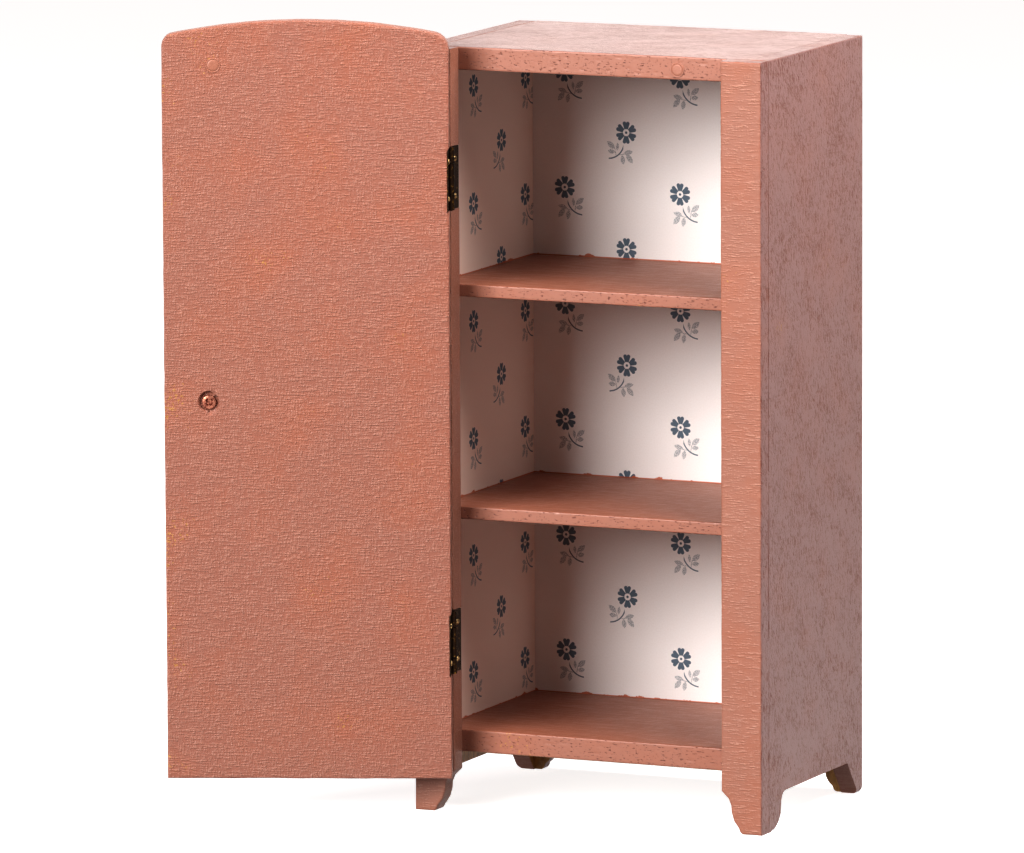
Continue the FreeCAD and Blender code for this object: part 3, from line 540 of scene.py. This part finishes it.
def makeDoor(seed):
    # slab under the arched top. Round the screw, the point at square distance b = max(|dx|, |dy|) and round
    # distance c moves in to b, so squares become circles, and those inside the bore sink by its depth
    pin, along, up, inward = doorFrame()
    r = bore["radius"]
    lines = r * bore["lines"]
    bend = 1 - np.cos(leaf["cornerAngles"])
    a = linesBetween(0, leaf["width"], leaf["step"], np.concatenate([
        bore["across"] + lines, leaf["hingeCorner"] * bend, leaf["width"] - leaf["freeCorner"] * bend]))
    tall = leaf["shoulder"] + leaf["rise"] - leaf["bottom"]
    z = linesBetween(leaf["bottom"], leaf["bottom"] + tall, leaf["step"],
                     np.concatenate([bore["up"] + lines, mortiseLines()]))
    local, faces = slabGrid(
        a, np.full(len(a), leaf["bottom"]), doorTop(a), (z - leaf["bottom"]) / tall, leaf["thickness"],
        leaf["softness"], leaf["wear"], seed, edgeRows)
    x, y, depth = local.T
    # mortises: the hinge edge moves in, and the first few columns give way to it
    x += mortiseDepth(y) * np.clip(1 - x / mortise["fade"], 0, 1)
    dx, dy = x - bore["across"], y - bore["up"]
    square = np.maximum(np.abs(dx), np.abs(dy))
    circle = np.hypot(dx, dy)
    pull = np.clip((bore["reach"] * r - square) / ((bore["reach"] - 1) * r), 0, 1) * (square > 0)
    ratio = 1 + (np.divide(square, circle, out=np.ones_like(square), where=circle > 0) - 1) * pull
    inside = (depth > leaf["thickness"] / 2 - hair) & (square < r * bore["inside"])
    relief = np.sign(depth) * brushWaves(x, y, seed)
    waved = onFaces(depth, leaf["thickness"]) & ~inside
    around = np.arctan2(dy, dx) * bore["chips"] + 4 * bore["chips"]    # kept positive
    ragged = bore["ragged"] * softNoise(around, circle * 0, seed + 5)
    edge = (np.abs(square - r) < bore["onEdge"] * r) * ragged / r
    x, y = bore["across"] + dx * (ratio + edge), bore["up"] + dy * (ratio + edge)
    depth = depth + np.where(waved, relief, 0) - np.where(inside, bore["depth"], 0)
    local = np.column_stack([x + leaf["fromPin"], y, depth + leaf["outerFace"] + leaf["thickness"] / 2])
    woodPiece("door_panel_wood", "door_panel", "door", local, faces, pin, [along, up, inward], doorPaint)


makeDoor(80)
print("boards, posts and door shaped")


# Antique brass: stamped sheet, chemically darkened, polished again where it is touched.
# It gives the eye a nearly black brown metal with small gold glints on its crests.

brass = {
    "dark": "#2e2017", "bright": "#86642f", "patch": 0.9, "grit": 0.25,    # patch and grit in mm
    "wearFrom": 0.72, "wearTo": 0.85, "dull": 0.5, "polished": 0.28, "pit": 0.03 * mm, "pitting": 0.4,
}


def antiqueBrass(name, rubbed, dark=brass["dark"], bright=brass["bright"]):
    # colour and roughness both follow one noise: dark and dull in most places, bright where it is rubbed;
    # the more rubbed, the lower the noise at which the bright metal starts
    material, tree = startMaterial(name)
    place = addNode(tree, "TexCoord").outputs["Object"]
    patch = addNode(tree, "TexNoise", {}, {
        "Vector": place, "Scale": 1 / (brass["patch"] * mm), "Detail": 5.0})
    wear = addNode(tree, "MapRange", {}, {
        "Value": patch, "From Min": brass["wearFrom"] - rubbed, "From Max": brass["wearTo"] - rubbed})
    colour = addNode(tree, "Mix", {"data_type": "RGBA"}, {
        "Factor": wear, "A": hexToLinear(dark), "B": hexToLinear(bright)})
    gloss = addNode(tree, "MapRange", {}, {
        "Value": wear, "To Min": brass["dull"], "To Max": brass["polished"]})
    grit = addNode(tree, "TexNoise", {}, {
        "Vector": place, "Scale": 1 / (brass["grit"] * mm), "Detail": 3.0})
    bump = addNode(tree, "Bump", {}, {
        "Strength": brass["pitting"], "Distance": brass["pit"], "Height": grit})
    finishMaterial(tree, {
        "Base Color": colour.outputs["Result"], "Metallic": 1.0, "Roughness": gloss, "Normal": bump})
    return material


darkBrass = antiqueBrass("antique_brass", 0.14)
rubbedBrass = antiqueBrass("antique_brass_rubbed", 0.2)
for hinge in ("upper_hinge", "lower_hinge"):
    for part in ("frame_leaf", "door_leaf", "pin"):
        dress(f"{hinge}_{part}", darkBrass)
dress("door_knob", rubbedBrass)


def turnedPiece(profile, around, relief=None):
    # profile rows (radius, height) carried round the axis: P = (r cos t, r sin t, h - relief);
    # both ends close on the axis
    radius, height = np.array(profile, float).T * mm
    turn = np.linspace(0, 2 * math.pi, around, endpoint=False)
    ring = np.stack([radius[1:-1, None] * np.cos(turn), radius[1:-1, None] * np.sin(turn),
                     np.broadcast_to(height[1:-1, None], (len(radius) - 2, around))], -1)
    points = np.concatenate([ring.reshape(-1, 3), [[0, 0, height[0]], [0, 0, height[-1]]]])
    if relief is not None:
        points[:, 2] -= relief(points)
    index = np.arange(ring.shape[0] * around).reshape(-1, around)
    beside = np.roll(index, -1, axis=1)
    quads = np.stack([index[:-1], beside[:-1], beside[1:], index[1:]], -1).reshape(-1, 4)
    first, last = np.full(around, len(points) - 2), np.full(around, len(points) - 1)
    caps = np.concatenate([np.stack([first, beside[0], index[0]], -1),
                           np.stack([index[-1], beside[-1], last], -1)])
    return points, [quads, caps]


def aimed(points, place, axis):
    # turns the piece's own +Z onto the axis: P = place + x * u + y * v + z * axis, with v upright
    axis = np.array(axis, float)
    v = np.array([0, 0, 1.0])
    u = np.cross(v, axis)
    return np.array(place) + points @ np.array([u, v, axis])


def joinTurned(name, node, body, parts, material):
    # several turned solids joined into one piece, each one's faces counted on from the last one's points
    points, blocks, count = [], [], 0
    for solid, faceBlocks in parts:
        points.append(solid)
        blocks += [block + count for block in faceBlocks]
        count += len(solid)
    piece = meshPiece(name, np.concatenate(points), blocks, material, smooth=True)
    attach(piece, body)
    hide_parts(node)


nail = {    # the profile is in mm; depth and gap place it from the hinge pin
    "head": 0.95, "rise": 0.52, "skirt": 0.12, "shank": 0.35, "length": 4.5, "point": 0.8,
    "underside": 0.02, "bevelIn": 0.06, "bevelUp": 0.05, "domeRows": 9, "around": 28,
    "depth": 4.3 * mm, "gap": 0.6 * mm,
}


def nailProfile():
    # shank, flat underside, short skirt, then a cap of height rise * cos(t) at radius head * sin(t)
    dome = [(nail["head"] * math.sin(t), nail["skirt"] + (nail["rise"] - nail["skirt"]) * math.cos(t))
            for t in np.linspace(math.pi / 2, 0, nail["domeRows"])]
    return [(0, -nail["length"]), (nail["shank"], nail["point"] - nail["length"]),
            (nail["shank"], -nail["underside"]), (nail["head"] - nail["bevelIn"], 0.0),
            (nail["head"], nail["bevelUp"])] + dome


def makeNails():
    # two nails to a leaf, one head's radius in from each end of the node's own height
    pin, along, up, inward = doorFrame()
    for hinge in ("upper_hinge", "lower_hinge"):
        low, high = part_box(hinge + "_frame_nails")
        heights = [low[2] + nail["head"] * mm, high[2] - nail["head"] * mm]
        frameSide = pin + np.array([-nail["gap"], nail["depth"], 0])
        doorSide = pin + along * nail["gap"] + inward * nail["depth"]
        for side, body, axis, place in (
                ("frame", "cabinet", np.array([1.0, 0, 0]), frameSide), ("door", "door", -along, doorSide)):
            parts = []
            for z in heights:
                points, faces = turnedPiece(nailProfile(), nail["around"])
                parts.append((aimed(points, place + up * z, axis), faces))
            node = f"{hinge}_{side}_nails"
            joinTurned(node + "_domed", node, body, parts, nailBrass)


screw = {    # mm; slot: half the width of an arm of the cross, reach: its length from the middle
    "head": 2.25, "rise": 1.05, "skirt": 0.45, "flatness": 0.6, "shank": 1.05, "length": 10.2, "point": 0.8,
    "bevel": 0.1, "slot": 0.46, "reach": 1.3, "sunk": 0.9, "wall": 0.12, "fade": 0.5, "turn": 42,
    "domeRows": 26, "around": 96,
}


def crossRecess(points):
    # depth of the cross = sunk * (1 inside either arm, 0 outside, over the width of its wall), only on the
    # upper half of the head
    turn = math.radians(screw["turn"])
    x = (points[:, 0] * math.cos(turn) + points[:, 1] * math.sin(turn)) / mm
    y = (points[:, 1] * math.cos(turn) - points[:, 0] * math.sin(turn)) / mm
    arms = np.zeros(len(points))
    for a, b in ((np.abs(x), np.abs(y)), (np.abs(y), np.abs(x))):
        width = np.clip((screw["slot"] - a) / screw["wall"] + 0.5, 0, 1)
        length = np.clip((screw["reach"] - b) / screw["fade"], 0, 1)
        arms = np.maximum(arms, width * length)
    return arms * screw["sunk"] * mm * (points[:, 2] > 0.5 * screw["rise"] * mm)


def makeScrew():
    # the head's dome: radius head * sin(t), height skirt + (rise - skirt) * cos(t) ** flatness
    pin, along, up, inward = doorFrame()
    seat = leaf["outerFace"] + leaf["thickness"] - bore["depth"]
    place = pin + along * (leaf["fromPin"] + bore["across"]) + up * bore["up"] + inward * seat
    domed = screw["rise"] - screw["skirt"]
    dome = [(screw["head"] * math.sin(t), screw["skirt"] + domed * math.cos(t) ** screw["flatness"])
            for t in np.linspace(math.pi / 2, 0, screw["domeRows"])]
    profile = [(0, -screw["length"]), (screw["shank"], screw["point"] - screw["length"]),
               (screw["shank"], 0.0), (screw["head"] - screw["bevel"], 0.0),
               (screw["head"], screw["bevel"])] + dome
    points, faces = turnedPiece(profile, screw["around"], crossRecess)
    joinTurned("knob_screw_cross_head", "knob_screw", "door", [(aimed(points, place, inward), faces)],
               copperedSteel)


magnet = {    # mm
    "radius": 2.25, "thick": 2.0, "proud": 0.17, "round": 0.08, "groove": 0.11, "grooveWidth": 0.22,
    "around": 72,
}


def makeMagnets():
    # a disc let into the wood and painted over: rounded rim, then a groove where the paint has drawn back
    pin, _, _, inward = doorFrame()
    radius, proud, soft, wide = (magnet[key] for key in ("radius", "proud", "round", "grooveWidth"))
    rim = [(radius - soft * (1 - math.sin(t)), proud - soft * (1 - math.cos(t)))
           for t in np.linspace(math.pi / 2, 0, 4)]
    groove = [(radius - soft - wide, proud), (radius - soft - 1.5 * wide, proud - magnet["groove"]),
              (radius - soft - 2 * wide, proud), (0.5 * radius, proud), (0, proud)]
    profile = [(0, -magnet["thick"]), (radius, -magnet["thick"])] + rim + groove
    low, high = (np.array(corner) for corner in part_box("frame_magnet"))
    front = np.array([(low[0] + high[0]) / 2, low[1], (low[2] + high[2]) / 2])
    places = {"frame_magnet": ("cabinet", front, np.array([0, -1.0, 0]))}
    low, high = (np.array(corner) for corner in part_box("door_magnet"))
    middle = (low + high) / 2
    out = leaf["outerFace"] + leaf["thickness"] - (middle - pin) @ inward
    places["door_magnet"] = ("door", middle + inward * out, inward)
    for node, (body, place, axis) in places.items():
        points, faces = turnedPiece(profile, magnet["around"])
        joinTurned(node + "_painted", node, body, [(aimed(points, place, axis), faces)],
                   discPaint)


nailBrass = antiqueBrass("antique_brass_nails", 0.3, "#4a3826", "#c4a878")
copperedSteel = antiqueBrass("coppered_steel", 0.28, "#74463a", "#a06e5c")
makeNails()
makeScrew()
makeMagnets()
print("metal pieces finished")


# Printed paper: wood-pulp lining paper with a small block-printed flower.
# It gives the eye a warm white matt sheet and crisp slate-grey flowers in a half-drop repeat.

flower = {
    "petalRoot": (1.4, 0.24), "petalTip": (2.9, 0.58),     # the lobe's centre line in half a petal, mm
    "rootRadius": 0.46, "tipRadius": 0.6, "ring": 1.12, "dot": 0.4,
    "stemCentre": (6.3, -2.9), "stemRadius": 5.6, "stemWidth": 0.2,
    "stemTop": -4.0, "stemFrom": 1.0, "stemTo": 6.0,
    "leaves": [    # middle x, middle z, pointing angle, length, width in mm
        (5.2, -4.2, 40, 3.5, 1.7), (3.0, -4.6, 97, 2.6, 1.0), (5.1, -6.2, 8, 2.4, 1.5),
        (-0.7, -6.3, 165, 3.2, 1.5), (-1.1, -8.2, 232, 3.6, 1.7), (1.2, -8.7, 262, 3.0, 1.5)],
    "twigs": [(3.7, -6.3, 80, 3.4, 0.3), (1.2, -7.0, 170, 3.0, 0.3)],
    "columns": 19.85, "mirrorShift": 1.4, "repeat": 37.1, "drop": 18.55, "above": 9.1,
}
paper = {
    "shade": "#d8d0c8", "ink": "#667684", "leafInk": "#78858f", "smear": "#c46a44",
    "noises": [("fibre", 2.0, 4.0), ("hatch", 4.5, 2.0), ("dabs", 0.25, 4.0)],    # name, per mm, detail
    "fray": 0.12, "speckle": 0.3,               # how far the fibre moves the ink's edge, how much it shows
    "hatchGain": 1.2, "hatchCut": -0.64,        # how the leaves break up into hatching
    "smearTall": 0.28, "dabFrom": 0.56, "dabLift": 5.0, "farOff": 99.0,    # terracotta over each board, mm
    "masks": [    # mask, value where it is empty, value where it is full, strength, its ink
        ("hatched", 0.06, -0.1, 0.85, "leafInk"), ("ink", 0.11, 0.01, 1.0, "ink"),
        ("smear", 0.08, -0.08, 0.9, "smear")],
    "linesAcross": 54, "linesUp": 104, "swell": 0.06 * mm,    # hand-glued paper is never flat
}


def printedPaper(name, sheet, start, rise, lean):
    # a point's place in the repeat: column i = round((u - u0) / columns), odd ones mirrored and dropped by
    # half; flower = six petals folded onto one half petal by angle; leaf = |b| + a * a < 1 along and across.
    # Each row below is a result, its operation and what goes in: numbers, or the names of earlier results
    (rootX, rootY), (tipX, tipY) = flower["petalRoot"], flower["petalTip"]
    runX, runY = tipX - rootX, tipY - rootY
    square = runX * runX + runY * runY
    sixth = math.pi / 3
    middle = (flower["stemFrom"] + flower["stemTo"]) / 2
    steps = [
        ("aside", "SUBTRACT", "across", start[0]),
        ("height", "SUBTRACT", "up", start[1]),
        ("aside", "MULTIPLY_ADD", "height", -lean, "aside"),
        ("column", "DIVIDE", "aside", flower["columns"]),
        ("column", "ROUND", "column"),
        ("odd", "FLOORED_MODULO", "column", 2.0),
        ("x", "MULTIPLY_ADD", "column", -flower["columns"], "aside"),
        ("x", "MULTIPLY_ADD", "odd", -flower["mirrorShift"], "x"),
        ("mirror", "MULTIPLY_ADD", "odd", -2.0, 1.0),
        ("x", "MULTIPLY", "x", "mirror"),
        ("z", "MULTIPLY_ADD", "aside", -rise, "height"),
        ("z", "MULTIPLY_ADD", "odd", -flower["drop"], "z"),
        ("z", "SUBTRACT", "z", flower["above"]),
        ("z", "FLOORED_MODULO", "z", flower["repeat"]),
        ("z", "ADD", "z", flower["above"] - flower["repeat"]),
        # petals: the angle folded into one sixth of a turn, then a round-ended bar that widens outwards
        ("angle", "ARCTAN2", "x", "z"),
        ("angle", "ADD", "angle", sixth / 2),
        ("angle", "FLOORED_MODULO", "angle", sixth),
        ("angle", "SUBTRACT", "angle", sixth / 2),
        ("spread", "MULTIPLY", "x", "x"),
        ("spread", "MULTIPLY_ADD", "z", "z", "spread"),
        ("spread", "SQRT", "spread"),
        ("cosine", "COSINE", "angle"),
        ("sine", "SINE", "angle"),
        ("along", "MULTIPLY", "spread", "cosine"),
        ("side", "MULTIPLY", "spread", "sine"),
        ("side", "ABSOLUTE", "side"),
        ("along", "SUBTRACT", "along", rootX),
        ("side", "SUBTRACT", "side", rootY),
        ("share", "MULTIPLY", "along", runX / square),
        ("share", "MULTIPLY_ADD", "side", runY / square, "share"),
        ("share", "MAXIMUM", "share", 0.0),
        ("share", "MINIMUM", "share", 1.0),
        ("along", "MULTIPLY_ADD", "share", -runX, "along"),
        ("side", "MULTIPLY_ADD", "share", -runY, "side"),
        ("gap", "MULTIPLY", "along", "along"),
        ("gap", "MULTIPLY_ADD", "side", "side", "gap"),
        ("gap", "SQRT", "gap"),
        ("thick", "MULTIPLY_ADD", "share", flower["tipRadius"] - flower["rootRadius"],
         flower["rootRadius"]),
        ("bloom", "SUBTRACT", "gap", "thick"),
        ("ring", "SUBTRACT", flower["ring"], "spread"),
        ("bloom", "MAXIMUM", "bloom", "ring"),
        ("dot", "SUBTRACT", "spread", flower["dot"]),
        ("bloom", "MINIMUM", "bloom", "dot"),
        # stem: part of a ring
        ("stemX", "SUBTRACT", "x", flower["stemCentre"][0]),
        ("stemZ", "SUBTRACT", "z", flower["stemCentre"][1]),
        ("reach", "MULTIPLY", "stemX", "stemX"),
        ("reach", "MULTIPLY_ADD", "stemZ", "stemZ", "reach"),
        ("reach", "SQRT", "reach"),
        ("stem", "SUBTRACT", "reach", flower["stemRadius"]),
        ("stem", "ABSOLUTE", "stem"),
        ("stem", "SUBTRACT", "stem", flower["stemWidth"]),
        ("ends", "SUBTRACT", "x", middle),
        ("ends", "ABSOLUTE", "ends"),
        ("ends", "SUBTRACT", "ends", flower["stemTo"] - middle),
        ("stem", "MAXIMUM", "stem", "ends"),
        ("ends", "SUBTRACT", "z", flower["stemTop"]),
        ("stem", "MAXIMUM", "stem", "ends"),
    ]
    # leaves: |b| + a * a - 1, scaled by half the width so that it is nearly a distance
    foliage = 1.0
    for middleX, middleZ, turn, length, width in flower["leaves"] + flower["twigs"]:
        cosine, sine = math.cos(math.radians(turn)), math.sin(math.radians(turn))
        steps += [
            ("fromX", "SUBTRACT", "x", middleX),
            ("fromZ", "SUBTRACT", "z", middleZ),
            ("a", "MULTIPLY", "fromX", cosine * 2 / length),
            ("a", "MULTIPLY_ADD", "fromZ", sine * 2 / length, "a"),
            ("b", "MULTIPLY", "fromX", -sine * 2 / width),
            ("b", "MULTIPLY_ADD", "fromZ", cosine * 2 / width, "b"),
            ("b", "ABSOLUTE", "b"),
            ("leaf", "MULTIPLY_ADD", "a", "a", "b"),
            ("leaf", "MULTIPLY_ADD", "leaf", width / 2, -width / 2),
            ("foliage", "MINIMUM", foliage, "leaf")]
        foliage = "foliage"
    # the ink's edge is softened by the paper's fibre, the leaves are hatched, and above each board
    # the wall painter's brush has left a ragged line
    steps += [
        ("ink", "MINIMUM", "bloom", "stem"),
        ("ink", "MULTIPLY_ADD", "fibre", paper["fray"], "ink"),
        ("hatched", "MULTIPLY_ADD", "hatch", paper["hatchGain"], paper["hatchCut"]),
        ("hatched", "MAXIMUM", "hatched", "foliage"),
        ("speckled", "MULTIPLY", "fibre", paper["speckle"]),
        ("smear", "ADD", paper["farOff"], 0.0)]
    for board in ("floor_board", "lower_shelf", "upper_shelf"):
        steps += [
            ("over", "SUBTRACT", "up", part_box(board)[1][2] / mm),
            ("over", "ABSOLUTE", "over"),
            ("smear", "MINIMUM", "smear", "over")]
    steps += [
        ("lift", "SUBTRACT", "dabs", paper["dabFrom"]),
        ("lift", "MAXIMUM", "lift", 0.0),
        ("smear", "MULTIPLY_ADD", "lift", -paper["dabLift"], "smear"),
        ("smear", "SUBTRACT", "smear", paper["smearTall"])]

    material, tree = startMaterial(name)
    flat = addNode(tree, "UVMap", {"uv_map": "millimetres"})
    split = addNode(tree, "SeparateXYZ", {}, {"Vector": flat})
    known = {"across": split.outputs["X"], "up": split.outputs["Y"]}
    for noise, scale, detail in paper["noises"]:
        known[noise] = addNode(tree, "TexNoise", {}, {"Vector": flat, "Scale": scale, "Detail": detail})
    for result, operation, *values in steps:
        known[result] = addNode(tree, "Math", {"operation": operation}, {
            slot: known[value] if isinstance(value, str) else value for slot, value in enumerate(values)})
    colour = addNode(tree, "Mix", {"data_type": "RGBA"}, {
        "Factor": known["speckled"], "A": hexToLinear(sheet), "B": hexToLinear(paper["shade"])})
    for mask, empty, full, most, ink in paper["masks"]:
        amount = addNode(tree, "MapRange", {}, {
            "Value": known[mask], "From Min": empty, "From Max": full, "To Max": most})
        colour = addNode(tree, "Mix", {"data_type": "RGBA"}, {
            "Factor": amount, "A": colour.outputs["Result"], "B": hexToLinear(paper[ink])})
    bump = addNode(tree, "Bump", {}, {"Strength": 0.25, "Distance": 0.03 * mm, "Height": known["fibre"]})
    finishMaterial(tree, {
        "Base Color": colour.outputs["Result"], "Roughness": 0.8, "Normal": bump, "IOR": 1.45})
    return material


def paperSheet(name, axis, flip, material):
    # a thin closed slab: two grids of (across, up) joined round their rim,
    # face(u, v) = low + u * width + v * height, the shown one swelling by a product of two sine waves
    low, high = (np.array(corner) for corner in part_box(name))
    wall = 1 - axis    # the wall's own thin direction, x or y
    stepsU, stepsV = paper["linesAcross"], paper["linesUp"]
    u, v = np.meshgrid(np.linspace(0, 1, stepsU), np.linspace(0, 1, stepsV), indexing="ij")
    within = (u > 0) & (u < 1) & (v > 0) & (v < 1)
    swell = paper["swell"] * np.sin(7.0 * u + 3.0 * v) * np.sin(11.0 * v - 4.0 * u) * within
    sheets = []
    for depth in (0.0, 1.0):
        grid = np.zeros((stepsU, stepsV, 3))
        grid[..., axis] = low[axis] + u * (high[axis] - low[axis])
        grid[..., 2] = low[2] + v * (high[2] - low[2])
        face = low[wall] if depth == 0 else high[wall]
        shown = (depth == 1) != flip
        grid[..., wall] = face + (np.minimum(swell, 0) if depth == 1 else np.maximum(swell, 0)) * shown
        sheets.append(grid.reshape(-1, 3))
    points = np.concatenate(sheets)
    index = np.arange(stepsU * stepsV).reshape(stepsU, stepsV)
    quads = np.stack([index[:-1, :-1], index[1:, :-1], index[1:, 1:], index[:-1, 1:]], -1).reshape(-1, 4)
    rimLoop = np.concatenate([index[:-1, 0], index[-1, :-1], index[:0:-1, -1], index[0, :0:-1]])
    after = np.roll(rimLoop, -1)
    count = stepsU * stepsV
    band = np.stack([rimLoop, after, after + count, rimLoop + count], -1)
    faces = np.concatenate([quads[:, ::-1], quads + count, band])
    return meshPiece(name + "_sheet", points, [faces], material, points[:, [axis, 2]] / mm)


# node, the axis across it, whether its shown face is the low one, its white, first flower (mm), rise, lean.
# The left sheet's white is warmer, for the light that the terracotta beside it throws back
papers = [
    ("back_wallpaper", 0, True, "#f8f7f6", (-41.9, 187.8), -0.012, 0.0),
    ("left_wallpaper", 1, False, "#f6e2d6", (-8.2, 187.4), -0.043, 0.012),
    ("right_wallpaper", 1, True, "#f6f6f6", (-12.0, 176.0), 0.02, 0.0),
]
for name, axis, flip, sheet, start, rise, lean in papers:
    piece = paperSheet(name, axis, flip, printedPaper("printed_" + name, sheet, start, rise, lean))
    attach(piece, "cabinet")
    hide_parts(name)
print("paper hung")


# Studio: pale floor, white surroundings, a large soft lamp at the front left, a small one above the right.

studio = {
    "surround": 1.0, "ambient": 0.05, "warmth": "#ffa07a",
    "floor": "#e4e4e4", "floorGlow": 0.7, "floorSize": 12.0,
    "lamps": [    # name, azimuth from straight ahead, elevation, distance, width, height, watts
        ("window", -19.5, 20.5, 2.6, 1.65, 1.35, 85.5),
        ("reflector", 76, 60, 0.64, 0.45, 0.45, 5.7)],
}


def makeStudio():
    # the white room shows and reflects at full strength, and lights the piece softly
    world = bpy.data.worlds.new("white_studio")
    bpy.context.scene.world = world
    world.use_nodes = True
    tree = world.node_tree
    tree.nodes.clear()
    path = addNode(tree, "LightPath")
    strength = addNode(tree, "MapRange", {}, {
        "Value": path.outputs["Is Diffuse Ray"], "To Min": studio["surround"], "To Max": studio["ambient"]})
    colour = addNode(tree, "Mix", {"data_type": "RGBA"}, {
        "Factor": path.outputs["Is Diffuse Ray"], "A": (1, 1, 1, 1), "B": hexToLinear(studio["warmth"])})
    room = addNode(tree, "Background", {}, {"Color": colour.outputs["Result"], "Strength": strength})
    addNode(tree, "OutputWorld", {}, {"Surface": room})
    half = studio["floorSize"] / 2
    corners = np.array([(-half, -half, 0), (half, -half, 0), (half, half, 0), (-half, half, 0)], float)
    matt, tree = startMaterial("pale_floor")
    finishMaterial(tree, {
        "Base Color": hexToLinear(studio["floor"]), "Roughness": 0.9, "Specular IOR Level": 0.0,
        "Emission Color": (1, 1, 1, 1), "Emission Strength": studio["floorGlow"]})
    floor = meshPiece("studio_floor", corners, [np.array([[0, 1, 2, 3]])], matt)
    floor.visible_diffuse = False    # the piece is lit by the lamps and the room, not by the floor
    for name, azimuth, elevation, distance, width, height, watts in studio["lamps"]:
        azimuth, elevation = math.radians(azimuth), math.radians(elevation)
        lamp = bpy.data.lights.new(name, "AREA")
        lamp.energy, lamp.shape, lamp.size, lamp.size_y = watts, "RECTANGLE", width, height
        holder = bpy.data.objects.new(name, lamp)
        bpy.context.scene.collection.objects.link(holder)
        holder.location = (distance * math.sin(azimuth) * math.cos(elevation),
                           -distance * math.cos(azimuth) * math.cos(elevation),
                           distance * math.sin(elevation) + camera["middleHeight"])
        holder.rotation_euler = (math.pi / 2 - elevation, 0, azimuth)


camera = {
    "azimuth": 24.168, "elevation": 8.461, "roll": -0.263, "distance": 3.3106, "lens": 372.31,
    "aimRight": -0.039893, "aimUp": -0.001073, "middleHeight": 0.12,
}


def placeCamera():
    # back = (sin a cos e, -cos a cos e, sin e); right = (cos a, sin a, 0); up = back x right;
    # right and up are then rolled
    azimuth, elevation, roll = (math.radians(camera[k]) for k in ("azimuth", "elevation", "roll"))
    back = np.array([math.sin(azimuth) * math.cos(elevation), -math.cos(azimuth) * math.cos(elevation),
                     math.sin(elevation)])
    right = np.array([math.cos(azimuth), math.sin(azimuth), 0])
    up = np.cross(back, right)
    aim = np.array([0, 0, camera["middleHeight"]]) + right * camera["aimRight"] + up * camera["aimUp"]
    turned = np.eye(4)
    turned[:3, 0] = math.cos(roll) * right + math.sin(roll) * up
    turned[:3, 1] = -math.sin(roll) * right + math.cos(roll) * up
    turned[:3, 2] = back
    turned[:3, 3] = aim + back * camera["distance"]
    data = bpy.data.cameras.new("camera")
    data.lens = camera["lens"]
    data.clip_end = 100
    holder = bpy.data.objects.new("camera", data)
    bpy.context.scene.collection.objects.link(holder)
    holder.matrix_world = [list(row) for row in turned.T]
    bpy.context.scene.camera = holder


makeStudio()
placeCamera()
view = bpy.context.scene.view_settings
view.view_transform = "Standard"
view.exposure = 0.31
view.gamma = 0.76
print("studio ready")
